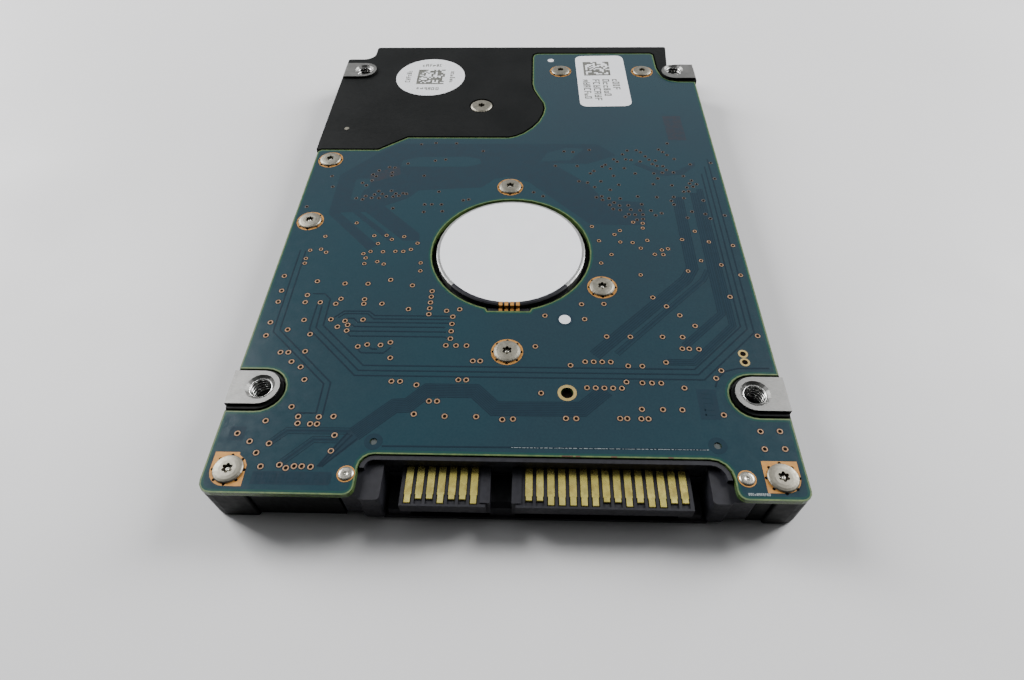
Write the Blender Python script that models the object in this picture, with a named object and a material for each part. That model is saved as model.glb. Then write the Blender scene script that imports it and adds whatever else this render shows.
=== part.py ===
"""2.5-inch hard disk drive, 7 mm high, lying on its lid with the circuit board up.

Axes: +X right, +Y away from the connector end, +Z up. Millimetres below, scaled to metres on
output. Plan positions are measured from the connector end (Y) and the centre line (X).
"""
import math

import bmesh
import bpy
from mathutils import Matrix

MM = 0.001
WELD = 0.0005                                    # merge distance of a turned shape, half a micrometre
LENGTH, HALF_W, HEIGHT = 100.2, 34.925, 7.0      # form factor
Y_MID = 49.9                                     # the frame origin, half way from tongue to far edge
SPIN = (0.0, 39.3)                               # spindle axis
MOTOR_WINDOW_R, SEAL_R = 11.85, 10.6             # board's round window, seal over the motor
MOTOR_TOP = 6.8                                  # face the seal lies on
PIVOT = (-6.6, 78.3)                             # actuator axis
LATCH = (8.4, 83.0)                              # shock latch axis
HOLE_X, NEAR_Y, FAR_Y = 30.86, 14.0, 90.6        # mounting hole pattern
THREAD_PITCH = 0.5                               # M3
Z_RIM, Z_DECK_LO, Z_DECK_HI = 1.05, 4.3, 5.0     # lid face, disk cavity roof, board pocket floor
Z_SEAT, Z_PLATEAU = 5.7, 6.6                     # board seat, top of the raised plateau
PCB_LO, PCB_HI = 5.72, 6.5
PLATTER_R, PLATTER_LO, PLATTER_HI = 32.5, 2.2, 2.835
ARM_LEN, PARK_DEG = 34.0, -24.2                  # pivot to head, head direction when parked
COIL_DEG = PARK_DEG + 180
PITCH, S1_X, P1_X = 1.27, -10.85, 3.12           # contact field
CONTACT_Z, CONTACT_HALF = 4.72, 0.41             # contact face height and half width
TIP_Y, TIP_HALF = 1.0, 0.34                      # a contact narrows in front of TIP_Y
TAIL_Y = 5.75                                    # contacts turn up here, behind the housing
RAIL_Y = 4.55                                    # front of the rail over the contacts
LIP, LIP_TOP = (4.45, 4.97), 6.35                # the raised lip that follows the board's edge
KEY_TOP = 4.8                                    # top of the two keys between the contact blades
PLUG_TOP = 5.66                                  # top of the connector's housing
BOSS_IN, BOSS_LO = 28.4, 4.8                     # inner end and foot of a mounting boss
BOSS_NEAR, BOSS_FAR_L, BOSS_FAR_R = (11.5, 16.45), (88.1, 93.2), (87.4, 92.4)
EDGE_X, EDGE_LEFT_Y, EDGE_RIGHT_Y = 34.55, -0.07, 0.17    # side edges, near edges of the two front tabs
WINDOW_Y = 5.12                                  # the board's edge behind the connector
FRONT_LEFT_Y, FRONT_RIGHT_Y = 0.02, 0.2          # front of the casting beside the connector
SKIRT = (0.1, 2.0)                               # height range of the casting's front skirt
NOTCH, NOTCH_R = (30.95, 13.9), 3.2              # the board's round notch at a near boss
CHIP_LO, CHIP_HI = 5.12, 5.68
RECESS_Z, PIVOT_RECESS_Z = 6.35, 6.2             # floors of the screws' driver recesses
PIVOT_SEAT = 6.35                                # floor of the pivot screw's counterbore
LABEL_GAP, LABEL_THICK = 0.01, 0.05
BOARD_LABEL, BOARD_LABEL_TURN = (16.6, 87.4), 1.4
ROUND_LABEL, ROUND_LABEL_R = (-17.3, 88.45), 6.8
TEETH = 9                                        # stator teeth
BOARD_SCREWS = [(-31.8, 61.5), (-31.8, 45.7), (-0.5, 54.3), (13.2, 32.0), (0.05, 20.3), (8.5, 90.75),
                (24.65, 90.6), (-31.65, 2.8), (31.75, 2.9)]
BOARD_HOLES = [(-15.4, 6.75, 0.45), (25.15, 6.9, 0.45), (7.75, 14.0, 0.78)]    # x, y, radius
LID_SCREWS = [(-31.2, 9.4), (31.2, 9.4), (-31.9, 57.0), (31.9, 57.0), (-28.7, 93.1), (28.5, 89.6)]

for old in list(bpy.data.objects):
    bpy.data.objects.remove(old, do_unlink=True)
PARTS = bpy.data.collections.new("hard_disk_drive")
CUTS = bpy.data.collections.new("cutters")
bpy.context.scene.collection.children.link(PARTS)
bpy.context.scene.collection.children.link(CUTS)


# ---------------------------------------------------------------- plan outlines
def rect(x0, x1, y0, y1):
    return [(x0, y0), (x1, y0), (x1, y1), (x0, y1)]


def rounded(corners, n=4):
    """Outline from (x, y, radius) corners, with each corner filleted."""
    out = []
    count = len(corners)
    for i, corner in enumerate(corners):
        x, y, r = (tuple(corner) + (0.0,))[:3]
        if r <= 0:
            out.append((x, y))
            continue
        px, py = corners[i - 1][:2]
        qx, qy = corners[(i + 1) % count][:2]
        ax, ay = px - x, py - y
        bx, by = qx - x, qy - y
        la, lb = math.hypot(ax, ay), math.hypot(bx, by)
        ax, ay, bx, by = ax / la, ay / la, bx / lb, by / lb
        half = math.acos(max(-1.0, min(1.0, ax * bx + ay * by))) / 2
        t = r / math.tan(half)
        mx, my = ax + bx, ay + by
        lm = math.hypot(mx, my)
        cx, cy = x + mx / lm * r / math.sin(half), y + my / lm * r / math.sin(half)
        a0 = math.atan2(y + ay * t - cy, x + ax * t - cx)
        a1 = math.atan2(y + by * t - cy, x + bx * t - cx)
        d = (a1 - a0 + math.pi) % (2 * math.pi) - math.pi
        out += [(cx + r * math.cos(a0 + d * k / n), cy + r * math.sin(a0 + d * k / n))
                for k in range(n + 1)]
    return out


def sector(cx, cy, r0, r1, deg0, deg1, n=10):
    """Part of a ring, as a closed outline."""
    a = [math.radians(deg0 + (deg1 - deg0) * k / n) for k in range(n + 1)]
    return ([(cx + r1 * math.cos(t), cy + r1 * math.sin(t)) for t in a] + [(cx + r0 * math.cos(t),
                                                                            cy + r0 * math.sin(t))
                                                                           for t in reversed(a)])


def turned(pts, deg, origin):
    c, s = math.cos(math.radians(deg)), math.sin(math.radians(deg))
    return [(origin[0] + x * c - y * s, origin[1] + x * s + y * c) for x, y in pts]


def star(x, y, inner, outer, lobes, n=3):
    """Outline of a six-lobe driver recess."""
    count = lobes * n
    out = []
    for k in range(count):
        r = inner if k % n == 0 else outer
        angle = 2 * math.pi * k / count
        out.append((x + r * math.cos(angle), y + r * math.sin(angle)))
    return out


# ---------------------------------------------------------------- solids
class Solid:
    """Closed shells in one mesh, in millimetres of the drive's plan, each made by a modelling operator."""

    def __init__(self):
        self.bm = bmesh.new()

    def box(self, x0, x1, y0, y1, z0, z1):
        middle = Matrix.Translation(((x0 + x1) / 2, (y0 + y1) / 2, (z0 + z1) / 2))
        size = Matrix.Diagonal((x1 - x0, y1 - y0, z1 - z0, 1.0))
        bmesh.ops.create_cube(self.bm, size=1.0, matrix=middle @ size)
        return self

    def rod(self, centre, turn, r, length, n):
        bmesh.ops.create_cone(self.bm, cap_ends=True, segments=n, radius1=r, radius2=r, depth=length,
                              matrix=Matrix.Translation(centre) @ turn)
        return self

    def disc(self, x, y, r, z0, z1, n=32):
        return self.rod((x, y, (z0 + z1) / 2), Matrix(), r, z1 - z0, n)

    def drill_x(self, y, z, r, x0, x1, n=16):
        return self.rod(((x0 + x1) / 2, y, z), Matrix.Rotation(math.pi / 2, 4, "Y"), r, abs(x1 - x0), n)

    def extrude(self, points, move):
        """A flat outline drawn as one face, then extruded along a straight line."""
        face = self.bm.faces.new([self.bm.verts.new(point) for point in points])
        grown = bmesh.ops.extrude_face_region(self.bm, geom=[face])
        ends = [item for item in grown["geom"] if isinstance(item, bmesh.types.BMVert)]
        bmesh.ops.translate(self.bm, vec=move, verts=ends)
        return self

    def prism(self, pts, z0, z1):
        return self.extrude([(x, y, z0) for x, y in pts], (0, 0, z1 - z0))

    def side(self, pts, x0, x1):
        """Prism along X from a (y, z) outline."""
        return self.extrude([(x0, y, z) for y, z in pts], (x1 - x0, 0, 0))

    def turn(self, x, y, profile, n=32):
        """(r, z) profile spun about an upright axis: closed, unless it starts and ends on the axis."""
        known = set(self.bm.verts)
        points = [self.bm.verts.new((x + r, y, z)) for r, z in profile]
        pairs = list(zip(points, points[1:]))
        if profile[0][0] > 0:
            pairs.append((points[-1], points[0]))
        edges = [self.bm.edges.new(pair) for pair in pairs]
        bmesh.ops.spin(self.bm, geom=points + edges, cent=(x, y, 0), axis=(0, 0, 1), angle=2 * math.pi,
                       steps=n, use_merge=True)
        fresh = [v for v in self.bm.verts if v not in known]
        bmesh.ops.remove_doubles(self.bm, verts=fresh, dist=WELD)
        return self

    def build(self, name, where, origin=(0.0, Y_MID)):
        ox, oy = origin
        self.bm.transform(Matrix.Scale(MM, 4) @ Matrix.Translation((-ox, -oy, 0)))
        bmesh.ops.recalc_face_normals(self.bm, faces=self.bm.faces)
        mesh = bpy.data.meshes.new(name)
        self.bm.to_mesh(mesh)
        self.bm.free()
        obj = bpy.data.objects.new(name, mesh)
        obj.location = (ox * MM, (oy - Y_MID) * MM, 0.0)
        where.objects.link(obj)
        return obj


def material(obj, rgb, metal=0.0, rough=0.5):
    mat = bpy.data.materials.new(obj.name + "_mat")
    mat.use_nodes = True
    shader = mat.node_tree.nodes["Principled BSDF"]
    shader.inputs["Base Color"].default_value = (*rgb, 1.0)
    shader.inputs["Metallic"].default_value = metal
    shader.inputs["Roughness"].default_value = rough
    obj.data.materials.append(mat)


def combine(obj, verb, tool, origin=(0.0, Y_MID)):
    """Adds or cuts one further solid with an exact boolean."""
    count = len(obj.modifiers)
    cutter = tool.build(f"tool_{obj.name}_{count}", CUTS, origin)
    cutter.hide_render = True
    cutter.display_type = "WIRE"
    mod = obj.modifiers.new(f"{verb.lower()}_{count}", "BOOLEAN")
    mod.operation = verb
    mod.solver = "EXACT"
    mod.object = cutter


def part(name, solid, rgb, metal=0.0, rough=0.5, add=(), cut=(), origin=(0.0, Y_MID)):
    """One node: a base solid, then the solids added to it, then those cut from it."""
    obj = solid.build(name, PARTS, origin)
    material(obj, rgb, metal, rough)
    for tool in add:
        combine(obj, "UNION", tool, origin)
    for tool in cut:
        combine(obj, "DIFFERENCE", tool, origin)
    return obj


BLACK, CHARCOAL, STEEL, ALU = (0.03, 0.032, 0.035), (0.05, 0.052, 0.058), (0.6, 0.6, 0.6), (0.72, 0.72, 0.71)
GOLD, COPPER, WHITE, TEAL = (0.83, 0.66, 0.25), (0.72, 0.36, 0.18), (0.86, 0.86, 0.84), (0.09, 0.28, 0.34)


# ---------------------------------------------------------------- casting
CAST_OUTLINE = rounded([(-HALF_W, FRONT_LEFT_Y, 1.8), (-29.2, FRONT_LEFT_Y, 0.3), (-29.2, 0.4),
                        (-18.8, 0.4), (-18.8, 5.7), (28.8, 5.7), (28.8, 0.6), (30.6, 0.6),
                        (30.6, FRONT_RIGHT_Y, 0.3), (HALF_W, FRONT_RIGHT_Y, 1.8), (HALF_W, 92.45, 0.7),
                        (29.8, 92.45, 0.3), (30.4, LENGTH, 0.4), (-29.6, LENGTH, 0.6), (-29.6, 95.4, 2.2),
                        (-HALF_W, 95.4, 0.5)])


def board_outline(grow=0.0):
    """The board's edge; grow widens it evenly for the seat in the casting."""
    g = grow
    arc = [(-NOTCH[0] + (NOTCH_R - g) * math.cos(math.radians(a)),
            NOTCH[1] + (NOTCH_R - g) * math.sin(math.radians(a))) for a in range(90, -91, -15)]
    left_notch = [(-EDGE_X - g, NOTCH[1] + NOTCH_R - g), *arc, (-EDGE_X - g, NOTCH[1] - NOTCH_R + g)]
    right_notch = [(-x, y) for x, y in reversed(left_notch)]
    near = [(-EDGE_X - g, EDGE_LEFT_Y - g, 1.5), (-16.75 + g, EDGE_LEFT_Y - g, 1.1),
            (-16.75 + g, WINDOW_Y - g, 1.7), (26.35 - g, WINDOW_Y - g, 2.4),
            (26.35 - g, EDGE_RIGHT_Y - g, 1.1), (EDGE_X + g, EDGE_RIGHT_Y - g, 1.2)]
    boss = [(EDGE_X + g, 86.75 + g), (31.2, 86.8 + g), (29.6 - g * 0.3, 87.3 + g),
            (28.5 + g * 0.6, 88.4 + g * 0.8), (28.0 + g, 90.0), (27.6 + g, 92.0)]
    far = [(27.5 + g, 97.1 + g * 0.5), (27.0 + g * 0.5, 97.65 + g), (4.0 - g * 0.5, 97.65 + g),
           (3.25 - g, 97.2 + g * 0.4), (3.0 - g, 96.3)]
    curve = [(3.0 - g, 86.0), (3.3 - g, 84.0), (4.2 - g, 81.5), (5.1 - g, 79.3), (5.3 - g, 77.5),
             (5.0 - g, 75.5), (4.2 - g, 73.2), (3.0 - g, 71.2 + g * 0.5), (1.5 - g * 0.6, 69.5 + g * 0.8),
             (0.0, 68.5 + g), (-1.2, 68.1 + g)]
    step = [(-19.2 - g * 0.4, 68.1 + g), (-24.0 - g * 0.4, 64.4 + g), (-34.0, 64.4 + g),
            (-EDGE_X - g, 63.9 + g)]
    return rounded([*near, *right_notch, *boss, *far, *curve, *step, *left_notch])


def boss_outline(x_sign, y0, y1, outer=HALF_W):
    mid, r = (y0 + y1) / 2, (y1 - y0) / 2
    cx = BOSS_IN + r
    arc = [(x_sign * (cx - r * math.cos(math.radians(a))), mid + r * math.sin(math.radians(a)))
           for a in range(-90, 91, 15)]
    return [(x_sign * (outer - 0.22), y0), *arc, (x_sign * (outer - 0.22), y1)]


def threaded_hole(x, y, z_top, depth, n=18):
    """Cutter for a countersunk M3 hole whose wall is grooved at the thread pitch."""
    profile = [(0, z_top + 0.3), (1.85, z_top + 0.3), (1.85, z_top - 0.02), (1.52, z_top - 0.38)]
    z = z_top - 0.38
    while z > z_top - depth + THREAD_PITCH:
        profile += [(1.28, z - THREAD_PITCH / 2), (1.52, z - THREAD_PITCH)]
        z -= THREAD_PITCH
    profile += [(1.28, z_top - depth), (0, z_top - depth)]
    return Solid().turn(x, y, profile, n)


def base_casting():
    body = Solid().prism(CAST_OUTLINE, Z_RIM, Z_PLATEAU)
    skirt = Solid().prism(rounded([(-HALF_W, FRONT_LEFT_Y, 1.8), (-29.2, FRONT_LEFT_Y, 0.3), (-29.2, 0.4),
                                   (-18.8, 0.4), (-18.8, 5.5), (-HALF_W, 5.5)]), *SKIRT)
    skirt.prism(rounded([(28.8, 0.6), (30.6, 0.6), (30.6, FRONT_RIGHT_Y, 0.3), (HALF_W, FRONT_RIGHT_Y, 1.8),
                         (HALF_W, 5.5), (28.8, 5.5)]), *SKIRT)
    bosses = Solid()
    for sx in (-1, 1):
        bosses.prism(boss_outline(sx, *BOSS_NEAR), BOSS_LO, HEIGHT)
    bosses.prism(boss_outline(-1, *BOSS_FAR_L), BOSS_LO, HEIGHT)
    bosses.prism(boss_outline(1, *BOSS_FAR_R), BOSS_LO, HEIGHT)
    seat = Solid().prism(board_outline(0.3), Z_SEAT, HEIGHT + 1)
    sides = Solid().box(-40, -34.5, -1, 64.4, Z_SEAT, HEIGHT + 1)
    sides.box(34.5, 40, -1, 87.05, Z_SEAT, HEIGHT + 1)
    near = Solid().box(-34.6, 34.6, -1, 0.6, Z_SEAT, HEIGHT + 1)
    disk_bay = Solid().disc(*SPIN, 32.85, -1, Z_DECK_LO, 72)
    arm_bay = Solid().prism(rounded([(-22, 66), (20, 58.7), (32.6, 58.7, 1), (32.6, 85.6, 1.5),
                                     (26.6, 86.2, 1), (26.6, 98.3, 1.5), (-26.4, 98.3, 1.5),
                                     (-26.4, 86.6, 1), (-32.9, 86.2, 1.5), (-32.9, 70.5, 1.5),
                                     (-22, 70.0, 1)]), -1, Z_DECK_LO - 0.001)
    coil_bay = Solid().prism(rounded([(-31.9, 71.5, 1.5), (1.1, 71.5, 1), (1.1, 97.5, 1.5),
                                      (-26.0, 97.5, 1.5), (-26.0, 85.8, 1), (-31.9, 85.8, 1.5)]), 2.0, 5.55)
    pocket = Solid().prism(rounded([(-27.2, 7.6, 2), (-20.0, 7.6, 1), (-20, 11.9), (30.3 - 3.4, 11.9, 1),
                                    (26.9, 19, 1), (33.1, 19.2, 1), (33.1, 85.2, 1), (27.6, 85.2, 1),
                                    (26.3, 96.2, 1), (4.6, 96.2, 1), (4.6, 84.5, 1), (6.8, 77.5, 2),
                                    (4.2, 70.8, 1), (0.2, 66.6, 1), (-19, 66.6, 1), (-24.5, 63.0, 1),
                                    (-29.6, 63.0, 1), (-29.6, 60.0), (-33.1, 59.4, 1), (-33.1, 47.6, 0.5),
                                    (-29.6, 47.4), (-29.6, 43.6), (-33.1, 43.4, 0.5), (-33.1, 19.2, 1),
                                    (-27.2, 19, 1)]), Z_DECK_HI, Z_SEAT + 0.5)
    tails = Solid().box(-13.5, 24.0, 5.0, 10.5, Z_DECK_HI, Z_SEAT + 0.5)
    tail_slot = Solid().box(-13.4, 23.9, 5.0, TAIL_Y + 0.5, CONTACT_Z - 0.4, Z_SEAT + 0.4)
    motor = Solid().disc(*SPIN, 11.15, 3.9, HEIGHT + 1, 48)
    flex_slot = Solid().box(-3.3, 3.3, 26.0, 32.0, Z_DECK_HI - 0.25, HEIGHT + 1)
    holes = Solid()
    for sx in (-1, 1):
        for y in (NEAR_Y, FAR_Y):
            holes.drill_x(y, 4.0, 1.25, sx * 32.75, sx * 37)
    pivot = Solid().turn(*PIVOT, [(0, 5.0), (1.1, 5.0), (1.1, PIVOT_SEAT), (2.3, PIVOT_SEAT), (2.3, 8.0),
                                  (0, 8.0)], 24)
    lid_holes = Solid()
    for x, y in LID_SCREWS:
        lid_holes.disc(x, y, 0.72, 0.5, 2.9, 12)
    head_slot = Solid().box(13.4, 22.6, 79.6, 84.4, 3.9, 5.4)
    tops = [threaded_hole(sx * HOLE_X, y, HEIGHT, 3.1) for sx in (-1, 1) for y in (NEAR_Y, FAR_Y)]
    posts_up = Solid()
    for x, y in BOARD_SCREWS[2:7]:
        posts_up.disc(x, y, 2.3, 4.6, Z_SEAT, 20)
    screw_holes = Solid()
    for x, y in BOARD_SCREWS:
        screw_holes.disc(x, y, 0.85, 4.6, Z_SEAT + 0.4, 12)
    obj = part("base_casting", body, BLACK, 0.2, 0.42, add=[skirt],
               cut=[seat, sides, near, disk_bay, arm_bay, coil_bay, pocket, tails, tail_slot, motor,
                    flex_slot, pivot, lid_holes, head_slot])
    combine(obj, "UNION", bosses)
    combine(obj, "UNION", posts_up)
    for tool in (screw_holes, holes, *tops):
        combine(obj, "DIFFERENCE", tool)


# ---------------------------------------------------------------- lid side
def lid_field(g):
    """The lid's flat raised field; g narrows it evenly."""
    return rounded([(-27.8 + g, 7.4 + g, 2), (27.8 - g, 7.4 + g, 2), (32.9 - g, 13.8, 2),
                    (32.9 - g, 53.0, 1), (29.6 - g, 54.2, 1), (29.6 - g, 59.8, 1), (32.9 - g, 61.0, 1),
                    (32.9 - g, 85.0 - g, 2), (25.9 - g, 87.5 - g, 1.5), (25.9 - g, 98.4 - g, 1.5),
                    (-25.9 + g, 98.4 - g, 1.5), (-25.9 + g, 90.2 - g, 1.5), (-32.9 + g, 86.5 - g, 2),
                    (-32.9 + g, 61.0, 1), (-29.6 + g, 59.8, 1), (-29.6 + g, 54.2, 1), (-32.9 + g, 53.0, 1),
                    (-32.9 + g, 13.8, 2)])


def lid_screw_holes():
    holes = Solid()
    for x, y in LID_SCREWS:
        holes.disc(x, y, 0.95, -1, 2, 16)
    return holes


def lid():
    rim = rounded([(-34.5, 5.85, 1.2), (34.5, 5.85, 1.2), (34.5, 92.0, 0.8), (29.3, 92.0, 0.5),
                   (29.3, 99.7, 0.8), (-29.9, 99.7, 0.8), (-29.9, 95.0, 1.5), (-34.5, 95.0, 0.8)])
    recess = Solid().prism(rounded([(-24.2, 12.2, 2.2), (24.2, 12.2, 2.2), (24.2, 66.8, 2.2),
                                    (-24.2, 66.8, 2.2)]), -1, 0.12)
    part("top_cover", Solid().prism(rim, 0.35, 0.85), (0.62, 0.62, 0.61), 0.9, 0.35,
         add=[Solid().prism(lid_field(0), 0.0, 0.6)], cut=[Solid().prism(lid_field(0.45), 0.5, 1.5), recess,
                                                           lid_screw_holes(),
                                                           Solid().disc(*PIVOT, 1.9, -1, 0.2, 24),
                                                           Solid().disc(*PIVOT, 0.9, -0.5, 2, 24)])
    part("cover_label", Solid().prism(rounded([(-24, 12.4, 2), (24, 12.4, 2), (24, 66.6, 2),
                                               (-24, 66.6, 2)]), 0.02, 0.1), WHITE, 0.0, 0.5)
    gasket_out = rounded([(-34.2, 6.05, 1), (34.2, 6.05, 1), (34.2, 91.7, 0.8), (29.0, 91.7, 0.5),
                          (29.0, 99.4, 0.8), (-29.6, 99.4, 0.8), (-29.6, 94.7, 1.5), (-34.2, 94.7, 0.8)])
    inner = rounded([(-8, 7.0, 1), (8, 7.0, 1), (33.3, 17.5, 3), (33.3, 54.8, 0.5), (30.4, 55.2, 0.5),
                     (30.4, 58.8, 0.5), (33.3, 59.2, 0.5), (33.3, 86.6, 1), (27.1, 87.6, 0.5),
                     (27.1, 98.8, 1), (-27.1, 98.8, 1), (-27.1, 87.2, 1), (-33.3, 86.8, 1),
                     (-33.3, 59.2, 0.5), (-30.4, 58.8, 0.5), (-30.4, 55.2, 0.5), (-33.3, 54.8, 0.5),
                     (-33.3, 17.5, 3)], 3)
    part("cover_gasket", Solid().prism(gasket_out, 0.88, 1.02), (0.02, 0.02, 0.02), 0.0, 0.8,
         cut=[Solid().prism(inner, 0.5, 1.5), lid_screw_holes()])
    for k, (x, y) in enumerate(LID_SCREWS, 1):
        body = Solid().turn(x, y, [(0, 0.06), (1.3, 0.06), (1.5, 0.14), (1.5, 0.33), (0.66, 0.33),
                                   (0.66, 2.8), (0, 2.8)], 16)
        part(f"cover_screw_{k}", body, STEEL, 0.9, 0.3,
             cut=[Solid().prism(star(x, y, 0.42, 0.62, 6, 2), -1, 0.22)])


# ---------------------------------------------------------------- board
def board():
    hole = Solid().disc(*SPIN, MOTOR_WINDOW_R, 5, 8, 48)
    window = Solid().prism([(-2.9, 27.35), (2.9, 27.35), (3.2, 27.9), (3.2, 31.0), (-3.2, 31.0),
                            (-3.2, 27.9)], 5, 8)
    drills = Solid()
    for x, y in BOARD_SCREWS:
        drills.disc(x, y, 0.95, 5, 8, 12)
    for x, y, r in BOARD_HOLES:
        drills.disc(x, y, r, 5, 8, 12)
    part("circuit_board", Solid().prism(board_outline(), PCB_LO, PCB_HI), TEAL, 0.0, 0.4,
         cut=[hole, window, drills])
    for k, (x, y) in enumerate(BOARD_SCREWS, 1):
        body = Solid().turn(x, y, [(0, 4.7), (0.75, 4.7), (0.75, PCB_HI + 0.02), (1.7, PCB_HI + 0.02),
                                   (1.77, 6.58), (1.77, 6.66), (1.66, 6.78), (1.4, 6.86), (1.0, 6.91),
                                   (0, 6.92)], 24)
        part(f"board_screw_{k}", body, STEEL, 0.9, 0.3, cut=[Solid().prism(star(x, y, 0.47, 0.66, 6),
                                                                           RECESS_Z, HEIGHT + 0.5)])
    part("controller_chip", Solid().box(10.5, 24, 47.5, 61, CHIP_LO, CHIP_HI), CHARCOAL, 0, 0.5)
    part("memory_chip", Solid().box(-26, -16, 46, 58, CHIP_LO, CHIP_HI), CHARCOAL, 0, 0.5)
    label = rounded([(-4.85, -9.3, 1.4), (4.85, -9.3, 1.4), (4.85, 9.3, 1.4), (-4.85, 9.3, 1.4)])
    part("board_label", Solid().prism(turned(label, BOARD_LABEL_TURN, BOARD_LABEL), PCB_HI + LABEL_GAP,
                                      PCB_HI + LABEL_GAP + LABEL_THICK), WHITE, 0, 0.5)
    part("round_label", Solid().disc(*ROUND_LABEL, ROUND_LABEL_R, Z_PLATEAU + LABEL_GAP,
                                     Z_PLATEAU + LABEL_GAP + LABEL_THICK, 48), WHITE, 0, 0.5)
    part("head_connector", Solid().box(13.8, 22.2, 80.0, 84.0, 3.6, PLUG_TOP), CHARCOAL, 0, 0.5)


# ---------------------------------------------------------------- connector
def connector():
    rim = Solid().prism(rounded([(-16.45, -0.2, 0.5), (-13.85, -0.2, 0.5), (-13.85, RAIL_Y, 0.4),
                                 (23.75, RAIL_Y, 0.4), (23.75, 0.0, 0.5), (26.05, 0.0, 0.5), (26.05, 5.55),
                                 (-16.45, 5.55)]), 0.8, PLUG_TOP)
    flange_l = Solid().prism(rounded([(-18.55, 0.25, 0.3), (-16.0, 0.25), (-16.0, 5.55), (-18.55, 5.55)]),
                             1.2, PLUG_TOP)
    flange_r = Solid().prism(rounded([(25.6, 0.25), (28.6, 0.25, 0.3), (28.6, 5.55), (25.6, 5.55)]), 1.4,
                             PLUG_TOP)
    floor = Solid().box(-14.2, 24.1, 0.05, 5.5, 0.1, 0.65)
    back = Solid().box(-14.4, 24.2, 4.4, 4.9, 0.2, 3.4)
    blade = Solid().box(-11.75, -1.8, -0.4, 4.6, 3.05, 4.66)
    blade.box(1.6, 21.8, -0.4, 4.6, 3.05, 4.66)
    keys = Solid().box(-2.5, -1.35, 0.05, 4.7, 1.9, KEY_TOP)
    keys.box(1.15, 2.25, 0.05, 4.7, 1.9, KEY_TOP)
    lip = Solid().prism(rounded([(-16.55, 3.4), (-16.0, 3.4), (-16.0, LIP[0], 1.0), (25.6, LIP[0], 1.7),
                                 (25.6, 2.6), (26.15, 2.6), (26.15, LIP[1], 2.2), (-16.55, LIP[1], 1.5)]),
                        5.0, LIP_TOP)
    ribs = Solid()
    for x0, x1, top in ((-13.6, -11.0, 1.7), (-1.5, 1.5, 2.5), (20.8, 23.4, 1.7)):
        ribs.side([(0.3, 0.6), (0.6, top - 0.4), (1.2, top), (4.6, top), (4.6, 0.6)], x0, x1)
    grooves = Solid()
    for x in [S1_X + PITCH * k for k in range(7)] + [P1_X + PITCH * k for k in range(15)]:
        grooves.box(x - 0.47, x + 0.47, -0.15, TAIL_Y, 4.48, CONTACT_Z + 0.04)
    part("sata_housing", rim, CHARCOAL, 0, 0.5, add=[flange_l, flange_r, floor, back, blade, keys, lip,
                                                     ribs], cut=[grooves])
    long_ones = {"signal": (0, 3, 6), "power": (2, 3, 4, 5, 6, 9, 11, 12)}
    for group, x_first, count in (("signal", S1_X, 7), ("power", P1_X, 15)):
        pins = []
        for k in range(count):
            x = x_first + PITCH * k
            y0 = -0.08 if k in long_ones[group] else 0.42
            pins.append(Solid().side([(TIP_Y, 4.52), (TAIL_Y + 0.2, 4.52), (TAIL_Y + 0.2, 5.35),
                                      (8.6, 5.35), (8.6, 5.52), (TAIL_Y, 5.52), (TAIL_Y, CONTACT_Z),
                                      (TIP_Y, CONTACT_Z)], x - CONTACT_HALF, x + CONTACT_HALF))
            pins.append(Solid().side([(y0, 4.53), (TIP_Y + 0.1, 4.53), (TIP_Y + 0.1, CONTACT_Z - 0.01),
                                      (y0 + 0.08, CONTACT_Z - 0.01), (y0, CONTACT_Z - 0.07)], x - TIP_HALF,
                                     x + TIP_HALF))
        bar = Solid().box(x_first - 0.2, x_first + (count - 1) * PITCH + 0.2, TAIL_Y + 0.02, TAIL_Y + 0.18,
                          4.9, 5.2)
        part(f"{group}_contacts", bar, GOLD, 1.0, 0.25, add=pins)


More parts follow.
